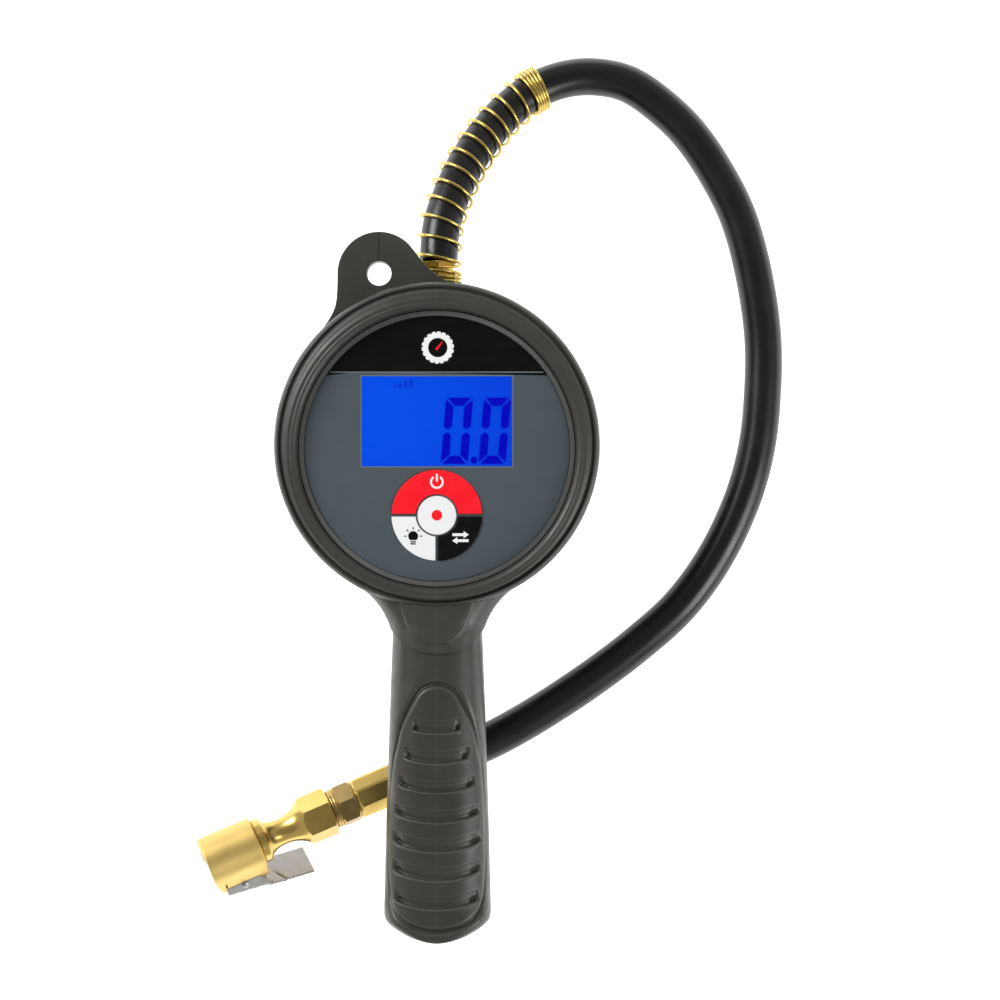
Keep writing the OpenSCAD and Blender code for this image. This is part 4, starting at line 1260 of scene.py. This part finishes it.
@dataclass
class Face:
    """Printed face, lit display and the ring of keys."""

    film_z: float = 57.4
    band_y: float = 23.5                # the black band lies above this
    lcd_z: float = 54.6
    ink: float = 0.05                   # thickness of a printed mark
    key_centre: tuple[float, float] = (0.0, -22.7)
    hub_r: float = 6.8
    key_z: float = 57.9
    window: tuple[float, float, float, float] = (-24.2, -7.0, 24.2, 22.0)
    digit: tuple[float, float] = (8.8, 21.4)      # width and height of a figure
    digit_at: tuple[tuple[float, float], ...] = ((1.1, -6.2), (13.3, -6.2))
    stroke: float = 2.7
    slant: float = 0.084

    def mark(self, name: str, outline: Sequence[tuple[float, float]], z: float, finish: Finish,
             body: str = ROOT) -> bpy.types.Object:
        """Thin printed shape.

        Args:
            name: Name of the piece.
            outline: Its corners in millimetres.
            z: Height of the surface that it is printed on.
            finish: Its ink.
            body: Body that it rides on.

        Returns:
            The mark.
        """
        return dress(prism(name, outline, z - 0.02, z + self.ink), finish, body)

    def film(self) -> bpy.types.Object:
        """Printed film: slate, with a black band across its top.

        Returns:
            The film.
        """
        film = refined("face_overlay", "face_film", 0.0)
        only(film)
        bpy.ops.object.mode_set(mode="EDIT")
        bpy.ops.mesh.select_all(action="SELECT")
        bpy.ops.mesh.bisect(plane_co=(0, self.band_y * MM, 0), plane_no=(0, 1, 0))
        bpy.ops.object.mode_set(mode="OBJECT")
        sunk(bevel(film, 0.08, 2, 60), 41.0, 60.0)
        dress(film, SLATE_FILM, replaces=["face_overlay"])
        film.data.materials.append(BLACK_FILM.build())
        for polygon in film.data.polygons:
            polygon.material_index = int(polygon.center.y > self.band_y * MM)
        return film

    def segment(self, which: str) -> list[tuple[float, float]]:
        """Outline of one bar of a figure, before it slants.

        Args:
            which: Its letter, from a, the top, clockwise to f.

        Returns:
            Corners, from the figure's lower left corner.
        """
        w, h = self.digit
        t, gap, mid = self.stroke, 0.18, h / 2
        top = [(0.55, h), (w - 0.55, h), (w - t - gap, h - t), (t + gap, h - t)]
        upper = [(0, h - 1.1), (0.2, h - 0.6), (t, h - t - gap - 0.1), (t, mid + 1.5), (t * 0.5, mid + 0.35),
                 (0, mid + 1.4)]
        shapes = {
            "a": top,
            "d": [(x, h - y) for x, y in top],
            "f": upper,
            "b": [(w - x, y) for x, y in upper],
            "e": [(x, h - y) for x, y in upper],
            "c": [(w - x, h - y) for x, y in upper],
        }
        return shapes[which]

    def display(self) -> None:
        """Two noughts with a point between them, and a small row of bars."""
        for number, (x0, y0) in enumerate(self.digit_at):
            bars = []
            for letter in "abcdef":
                outline = [(x0 + x + y * self.slant, y0 + y) for x, y in self.segment(letter)]
                bars.append(prism("bar_" + letter, outline, self.lcd_z - 0.02, self.lcd_z + self.ink))
            joined(bars, f"lcd_figure_{number + 1}")
            dress(bars[0], LCD_INK)
        self.mark("lcd_point", arc(11.9, -5.0, 1.15, 0, 345, 23), self.lcd_z, LCD_INK)
        level = []
        for step in range(4):
            x, tall = -14.2 + 1.75 * step, 1.0 + 0.62 * step
            level.append(prism("level",
                               [(x, 18.3), (x + 1.1, 18.3), (x + 1.1, 18.3 + tall), (x, 18.3 + tall)],
                               self.lcd_z - 0.02, self.lcd_z + self.ink))
        joined(level, "lcd_level")
        dress(level[0], LCD_FAINT)

    def key_cap(self, key: Key) -> bpy.types.Object:
        """A key, a ring sector with soft edges.

        Args:
            key: Which one.

        Returns:
            The key.
        """
        body, slot = key.value
        cap = refined(body, "cap_" + body, 0.2, 3, 50)
        finish = {Key.POWER: RED_INK, Key.LIGHT: WHITE_INK, Key.UNIT: BLACK_INK}[key]
        return dress(cap, finish, body, [body])

    def disc(self, name: str, r: float, z: float, finish: Finish) -> bpy.types.Object:
        """Round printed mark at the keys' middle."""
        return self.mark(name, arc(*self.key_centre, r, 0, 354, 59), z, finish)

    def pictograms(self) -> None:
        """Plain signs: power on the red key, a lamp on the white one, arrows on the black one."""
        cx, cy = self.key_centre
        z = self.key_z
        top_y = cy + 10.7
        ring = arc(cx, top_y, 2.2, 125, 415, 28) + arc(cx, top_y, 1.55, 415, 125, 28)
        bar = [(cx - 0.33, top_y + 0.2), (cx + 0.33, top_y + 0.2), (cx + 0.33, top_y + 2.6),
               (cx - 0.33, top_y + 2.6)]
        self.sign("sign_power", [ring, bar], z, WHITE_INK, "key_power", "key_white")
        lx, ly = cx - 7.6, cy - 7.2
        bulb = arc(lx, ly + 0.5, 1.6, -52, 232, 24)
        cap = [[(lx - 0.85, ly - d), (lx + 0.85, ly - d), (lx + 0.85, ly - d - 0.4),
                (lx - 0.85, ly - d - 0.4)]
               for d in (1.15, 1.8)]
        rays = [[(lx + a * math.cos(t) - b * math.sin(t), ly + 0.5 + a * math.sin(t) + b * math.cos(t))
                 for a, b in ((2.15, -0.17), (2.95, -0.17), (2.95, 0.17), (2.15, 0.17))]
                for t in (math.radians(d) for d in (0, 45, 90, 135, 180))]
        self.sign("sign_lamp", [bulb] + cap + rays, z, BLACK_INK, "key_light", "key_black")
        ux, uy = cx + 7.6, cy - 7.2
        arrow = [(-2.6, 0.5), (1.0, 0.5), (1.0, -0.2), (2.7, 0.95), (1.0, 2.1), (1.0, 1.4), (-2.6, 1.4)]
        pair = [[(ux + x, uy + y) for x, y in arrow], [(ux - x, uy - y) for x, y in arrow]]
        self.sign("sign_swap", pair, z, WHITE_INK, "key_unit", "key_white")

    def sign(self, name: str, outlines: Sequence, z: float, finish: Finish, body: str, slot: str) -> None:
        """Printed sign made of several outlines."""
        parts = [prism(name, outline, z - 0.02, z + self.ink) for outline in outlines]
        joined(parts, name)
        dress(parts[0], finish, body)

    def outlines(self) -> None:
        """Thin grey lines round the window and under the black band."""
        x0, y0, x1, y1 = self.window
        w = 0.4
        bars = [(x0 - w, y0 - w, x1 + w, y0), (x0 - w, y1, x1 + w, y1 + w), (x0 - w, y0, x0, y1),
                (x1, y0, x1 + w, y1), (-34.2, self.band_y - w, 34.2, self.band_y)]
        outlines = [[(a, b), (c, b), (c, d), (a, d)] for a, b, c, d in bars]
        self.sign("face_lines", outlines, self.film_z, GREY_INK, ROOT, "overlay_film")

    def tyre_sign(self) -> None:
        """Plain picture of a tyre with a needle, above the display."""
        x, y = 0.3, 31.2
        outer = []
        for tooth in range(18):
            a = 20 * tooth
            outer += arc(x, y, 5.2, a, a + 12, 2) + arc(x, y, 4.8, a + 13.5, a + 18.5, 1)
        tread = prism("tyre_tread", outer, self.film_z - 0.02, self.film_z + self.ink)
        hole = prism("tyre_hole", arc(x, y, 3.1, 0, 354, 59), self.film_z - 0.5, self.film_z + 0.5)
        boolean(tread, hole, "DIFFERENCE")
        dress(tread, WHITE_INK)
        tilt = math.radians(52)
        needle = [(x + a * math.cos(tilt) - b * math.sin(tilt), y + a * math.sin(tilt) + b * math.cos(tilt))
                  for a, b in ((-0.9, -0.45), (2.5, -0.12), (2.5, 0.12), (-0.9, 0.45))]
        self.sign("tyre_needle", [needle], self.film_z, RED_INK, ROOT, "key_red")

    def build(self) -> None:
        """Builds the face."""
        self.film()
        self.display()
        for key in Key:
            self.key_cap(key)
        self.disc("key_gaps", 15.0, self.film_z - 0.25, GREY_INK)
        self.disc("hub_ring", self.hub_r - 0.35, self.film_z, GREY_INK)
        self.disc("hub_white", self.hub_r - 0.6, self.film_z + 0.04, WHITE_INK)
        self.disc("hub_dot", 1.7, self.film_z + 0.08, RED_INK)
        self.pictograms()
        self.tyre_sign()
        self.outlines()


def joined(parts: Sequence[bpy.types.Object], name: str) -> bpy.types.Object:
    """Joins pieces to the first of them and names it."""
    deselect()
    for part in parts:
        part.select_set(True)
    bpy.context.view_layer.objects.active = parts[0]
    if len(parts) > 1:
        bpy.ops.object.join()
    return settle(parts[0], name)


# ---- chuck --------------------------------------------------------------------------------------

@dataclass
class Chuck:
    """Brass tyre chuck on the hose's end, with its clip lever and ferrule."""

    mouth: tuple[float, float, float] = (-77.5, -139.0, 22.2)
    clip_roll: float = -50.0
    barrel_r: float = 8.7
    barrel_len: float = 18.5
    mouth_r: float = 4.3
    mouth_depth: float = 7.0
    lug_half: float = 4.8
    lug_low: float = -11.3
    hex_flats: float = 14.3
    hex_end: float = 45.1
    fitting_flats: float = 12.7
    ferrule: tuple[float, float] = (54.4, 80.0)
    ferrule_flats: float = 13.2
    clip_pin: tuple[float, float] = (9.5, -10.3)
    sheet: float = 0.9
    clip_z: float = -11.95          # middle of the clip's sheet, 3 mm behind the mouth
    clip_slope: float = 0.167
    pieces: list = field(default_factory=list)

    def place(self, roll: float = 0.0) -> Matrix:
        """Matrix from the chuck's own axes to the scene, after a roll in degrees."""
        return (Matrix.Translation(Vector(self.mouth) * MM) @ Matrix.Rotation(CHUCK_YAW, 4, "Z")
                @ Matrix.Rotation(CHUCK_TILT, 4, "Y") @ Matrix.Rotation(math.radians(roll), 4, "X"))

    def turned(self, name: str, profile: Sequence[tuple[float, float]], steps: int = 96) -> bpy.types.Object:
        """Turned shape along the chuck's X axis, from pairs of place and radius, still unplaced."""
        return lathe(name, [(r, u) for u, r in profile], steps, Matrix.Rotation(math.pi / 2, 4, "Y"))

    def bar(self, name: str, u0: float, u1: float, flats: float, sides: int,
            roll: float = 0.0) -> bpy.types.Object:
        """Straight bar with flat sides along the chuck's X axis, still unplaced."""
        r = flats / 2 / math.cos(math.pi / sides)
        corners = [(r * math.cos(a), r * math.sin(a)) for a in
                   (math.radians(roll) + 2 * math.pi * i / sides + (math.pi / sides if sides == 8 else 0)
                    for i in range(sides))]
        return prism(name, corners, u0, u1, Matrix.Rotation(math.pi / 2, 4, "Y"))

    def finish_piece(self, obj: bpy.types.Object, name: str, finish: Finish,
                     replaces: Sequence[str], body: str = ROOT, roll: float = 0.0,
                     angle: float = 35) -> bpy.types.Object:
        """Places a piece on the chuck, shades it and dresses it."""
        settle(obj, name, self.place(roll))
        smooth(obj, angle)
        dress(obj, finish, body, replaces)
        self.pieces.append(obj)
        return obj

    def barrel(self) -> None:
        """Barrel with the lug for the clip, the mouth and the claw's slot."""
        r, low, half = self.barrel_r, self.lug_low, self.lug_half
        far = math.hypot(half, low)
        touch = math.degrees(math.acos(r / far))
        corner = math.degrees(math.atan2(low, half))
        round_part = arc(0, 0, r, corner + touch, 180 - corner - touch, 56)
        outline = round_part + [(-half, low), (half, low)]
        # the outline's second number is the clip's Z; the prism's axis turns to X
        turn = Matrix(((0, 0, 1, 0), (1, 0, 0, 0), (0, 1, 0, 0), (0, 0, 0, 1)))
        barrel = prism("barrel", outline, 0, self.barrel_len, turn)
        for vertex in barrel.data.vertices:
            if vertex.co.x < 0.1 * MM and vertex.co.z < -9 * MM:
                vertex.co.x = 1.8 * MM
        bevel(barrel, 0.45, 4, 40)
        bore = self.turned("mouth_cut", [(-1, 0), (-1, self.mouth_r + 1.4), (0.9, self.mouth_r),
                                         (self.mouth_depth, self.mouth_r), (self.mouth_depth, 4.9),
                                         (10.1, 4.9), (10.1, 5.95), (20, 5.95), (20, 0)])
        boolean(barrel, bore, "DIFFERENCE")
        for low_corner, high_corner in (((2.5, -2.6, -14), (5.0, 2.6, -3)),
                                        ((3.1, -9, -8.3), (3.75, -5.4, -5.2))):
            deselect()
            middle = [(a + b) / 2 * MM for a, b in zip(low_corner, high_corner)]
            bpy.ops.mesh.primitive_cube_add(size=1, location=middle,
                                            scale=[(b - a) * MM for a, b in zip(low_corner, high_corner)])
            boolean(barrel, settle(bpy.context.object, "claw_slot"), "DIFFERENCE")
        self.finish_piece(barrel, "chuck_barrel_turned", SATIN_BRASS, ["chuck_barrel"],
                          roll=self.clip_roll)

    def body(self) -> None:
        """Body: collar, waist and hexagon in one turned bar."""
        begin = self.barrel_len + 0.15
        collar = [(begin, 7.2), (begin + 0.4, 7.55), (begin + 2.3, 7.5), (begin + 2.75, 7.2)]
        hollow = through([(begin + 2.9, 6.7), (begin + 3.4, 6.0), (begin + 4.6, 5.2), (begin + 6.4, 4.62),
                          (begin + 8.4, 4.4), (begin + 10.6, 4.56), (begin + 12.7, 5.1), (begin + 14.5, 5.95),
                          (begin + 16.1, 7.1), (begin + 17.3, 8.3), (begin + 18.2, 9.5)], 4)
        shape = ([(begin, 0)] + collar + hollow
                 + [(self.hex_end - 0.7, 9.5), (self.hex_end - 0.6, 8.4), (self.hex_end, 7.5),
                    (self.hex_end, 0)])
        turned = self.turned("chuck_body", [(u, max(r, 0)) for u, r in shape], 128)
        block = self.bar("hexagon", 30, self.hex_end + 2, self.hex_flats, 6, 6.5 + 90)
        boolean(block, self.bar("collar_space", self.barrel_len - 3, 30.01, 22, 24), "UNION")
        boolean(turned, block, "INTERSECT")
        bevel(turned, 0.18, 2, 25)
        self.finish_piece(turned, "chuck_body_turned", BRASS, ["chuck_body"], angle=32)

    def fitting(self) -> None:
        """Fitting: two beads, then a hexagon with chamfered corners."""
        end = self.ferrule[0]
        profile = ([(44.6, 0), (44.6, 5.5), (45.55, 5.5)] + arc(46.05, 6.0, 0.62, 180, 10, 7)
                   + arc(47.0, 6.1, 0.5, 150, 20, 6)
                   + [(47.5, 6.35), (48.3, 7.25), (53.0, 7.3), (end - 0.2, 6.3), (end - 0.2, 0)])
        turned = self.turned("fitting", profile, 96)
        block = self.bar("fitting_hexagon", 47.45, end + 2, self.fitting_flats, 6, 18 + 90)
        boolean(block, self.bar("bead_space", 40, 47.46, 20, 24), "UNION")
        boolean(turned, block, "INTERSECT")
        bevel(turned, 0.12, 2, 30)
        self.finish_piece(turned, "hose_fitting_turned", DULL_BRASS, ["hose_end_fitting"],
                          angle=32)

    def sleeve(self) -> None:
        """Ferrule crimped to eight flats, round at its far end."""
        u0, u1 = self.ferrule
        block = self.bar("crimp", u0 - 0.1, u1 - 1.9, self.ferrule_flats, 8)
        bevel(block, 0.55, 4, 30)
        turned = self.turned("ferrule", [(u0 - 0.1, 0), (u0 - 0.1, 6.2), (u0 + 0.9, 7.0), (u1 - 3, 7.1),
                                         (u1 - 1.4, 6.9), (u1 - 0.5, 6.93), (u1 - 0.05, 6.6), (u1 - 0.05, 0)])
        boolean(block, self.turned("end_ring", [(u1 - 2.6, 0), (u1 - 2.6, 6.7), (u1 - 1.6, 6.95),
                                                (u1 + 1, 6.95), (u1 + 1, 0)]), "UNION")
        boolean(turned, block, "INTERSECT")
        inside = self.turned("hose_bore", [(56, 0), (56, 5.88), (u1 + 2, 5.88), (u1 + 2, 0)])
        boolean(turned, inside, "DIFFERENCE")
        self.finish_piece(turned, "ferrule_crimped", BRASS, ["chuck_ferrule"], angle=24)

    def clip_surface(self, share: np.ndarray, along: np.ndarray) -> np.ndarray:
        """Middle of the clip's sheet: a channel over the lug that opens to a flared tail."""
        u = 3.2 + 29.6 * along
        s = 2 * share - 1
        flat = ease(u, 14.6, 18.4)
        half = 5.45 + 0.75 * flat                     # half-width of the plate
        top = -8.9 - self.clip_z + self.clip_slope * (u - 3)
        ear = (1 - flat) * top + 0.02                 # height of the side ears
        reach = np.abs(s) * (half + ear)
        over = np.maximum(reach - half, 0)
        z = self.clip_z - self.clip_slope * (u - 3) + over
        z = z + 0.3 * ridge(u, 17.0, 0.7) * (1 - ease(reach, 4.0, 5.6))
        z = z - 0.4 * ridge(u + 0.55 * s * half, 19.4, 0.5) * ease(np.abs(s), 0.1, 0.5)
        y = np.sign(s) * np.minimum(reach, half)
        return np.column_stack([u, y, z])

    def clip(self) -> None:
        """Clip lever of bent sheet, with the claw that grips the tyre valve."""
        deselect()
        bpy.ops.mesh.primitive_grid_add(x_subdivisions=48, y_subdivisions=72, size=1.0)
        clip = bpy.context.object
        flat = np.empty(len(clip.data.vertices) * 3)
        clip.data.vertices.foreach_get("co", flat)
        flat = flat.reshape(-1, 3)
        clip.data.vertices.foreach_set(
            "co", (self.clip_surface(flat[:, 0] + 0.5, flat[:, 1] + 0.5) * MM).ravel())
        clip.data.update()
        modify(clip, "SOLIDIFY", thickness=self.sheet * MM, offset=0.0)
        claw = prism("claw", [(-2.2, -13.0), (2.2, -13.0), (2.2, -5.4), (1.3, -4.5), (-1.3, -4.5),
                              (-2.2, -5.4)], 3.7, 4.6,
                     Matrix(((0, 0, 1, 0), (1, 0, 0, 0), (0, 1, 0, 0), (0, 0, 0, 1))))
        boolean(clip, claw, "UNION")
        bevel(clip, 0.14, 2, 50)
        self.finish_piece(clip, "clip_lever_bent", SHEET_STEEL, ["clip_lever"], "clip_lever",
                          self.clip_roll, 40)

    def rivet(self) -> None:
        """Domed rivet that the clip turns on."""
        u, z = self.clip_pin
        dome = [(6.5, 0), (6.47, 0.5), (6.37, 0.9), (6.2, 1.15), (5.98, 1.25), (5.9, 1.2), (5.88, 0.95)]
        profile = dome + [(-y, r) for y, r in reversed(dome)]
        pin = lathe("rivet", [(r, y) for y, r in profile], 40,
                    Matrix.Translation((u * MM, 0, z * MM)) @ Matrix.Rotation(-math.pi / 2, 4, "X"))
        self.finish_piece(pin, "clip_rivet", STEEL, ["clip_pin"], roll=self.clip_roll)

    def build(self) -> list:
        """Builds the chuck.

        Returns:
            Its pieces.
        """
        for step in (self.barrel, self.body, self.fitting, self.sleeve, self.clip, self.rivet):
            step()
        return self.pieces


# ---- carried-over parts -------------------------------------------------------------------------

@dataclass
class Springs:
    """Coil springs, copied from the CAD frame and given their finish."""

    joints: dict = field(default_factory=lambda: {"valve_spring": "valve_lift",
                                                  "chuck_spring": "plunger_press"})

    def build(self) -> list[bpy.types.Object]:
        """Copies each spring from the CAD frame, gives it its finish and its own mesh.

        Returns:
            The springs, in the order of the joints.
        """
        made = []
        for node, name in self.joints.items():
            coil = dress(refined(node, f"{node}_wound", 0), SPRING_STEEL, replaces=[node])
            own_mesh(coil)
            made.append(coil)
        return made


@dataclass
class InnerParts:
    """Finishes of the CAD parts that keep their shape."""

    finishes: dict = field(default_factory=lambda: {
        WINDOW: ["display_window"], LCD: ["lcd_panel"], CONTACT_RUBBER: ["lcd_connector"],
        LIGHT_GUIDE: ["backlight_panel"], BOARD: ["circuit_board"],
        STEEL: ["board_screws", "case_screws", "battery_door_screws", "lever_pin", "inlet_strainer"],
        SWITCH: ["key_switches"],
        NICKEL: ["pressure_sensor", "battery_contacts"], CELL: ["batteries"], LEAD: ["battery_leads"],
        SEAL: ["sensor_seal", "stem_seal", "chuck_seal"],
        OUTLET_BRASS: ["valve_stem", "valve_seat", "valve_cap", "passage_plug"],
        BRASS: ["chuck_plunger"], SPRING_STEEL: ["clip_spring"]})

    def build(self) -> None:
        """Gives every CAD part its finish."""
        for finish, nodes in self.finishes.items():
            for node in nodes:
                part = frame["nodes"][node]
                material = finish.build()
                if not part.material_slots:
                    part.data.materials.append(material)
                for place in part.material_slots:
                    place.material = material


def main() -> None:
    """Builds the object, piece by piece."""
    logging.basicConfig(level=logging.INFO)
    Studio().build()
    springs = Springs().build()
    chuck = Chuck().build()
    small = [frame["nodes"][name] for name in ("chuck_seal", "chuck_plunger", "clip_spring")]
    HoseLine().build(chuck + springs[1:] + small)
    for part in (Head(), Handle(), Face(), InnerParts()):
        part.build()
        LOG.info("built the %s", type(part).__name__)


if __name__ == "__main__":
    main()
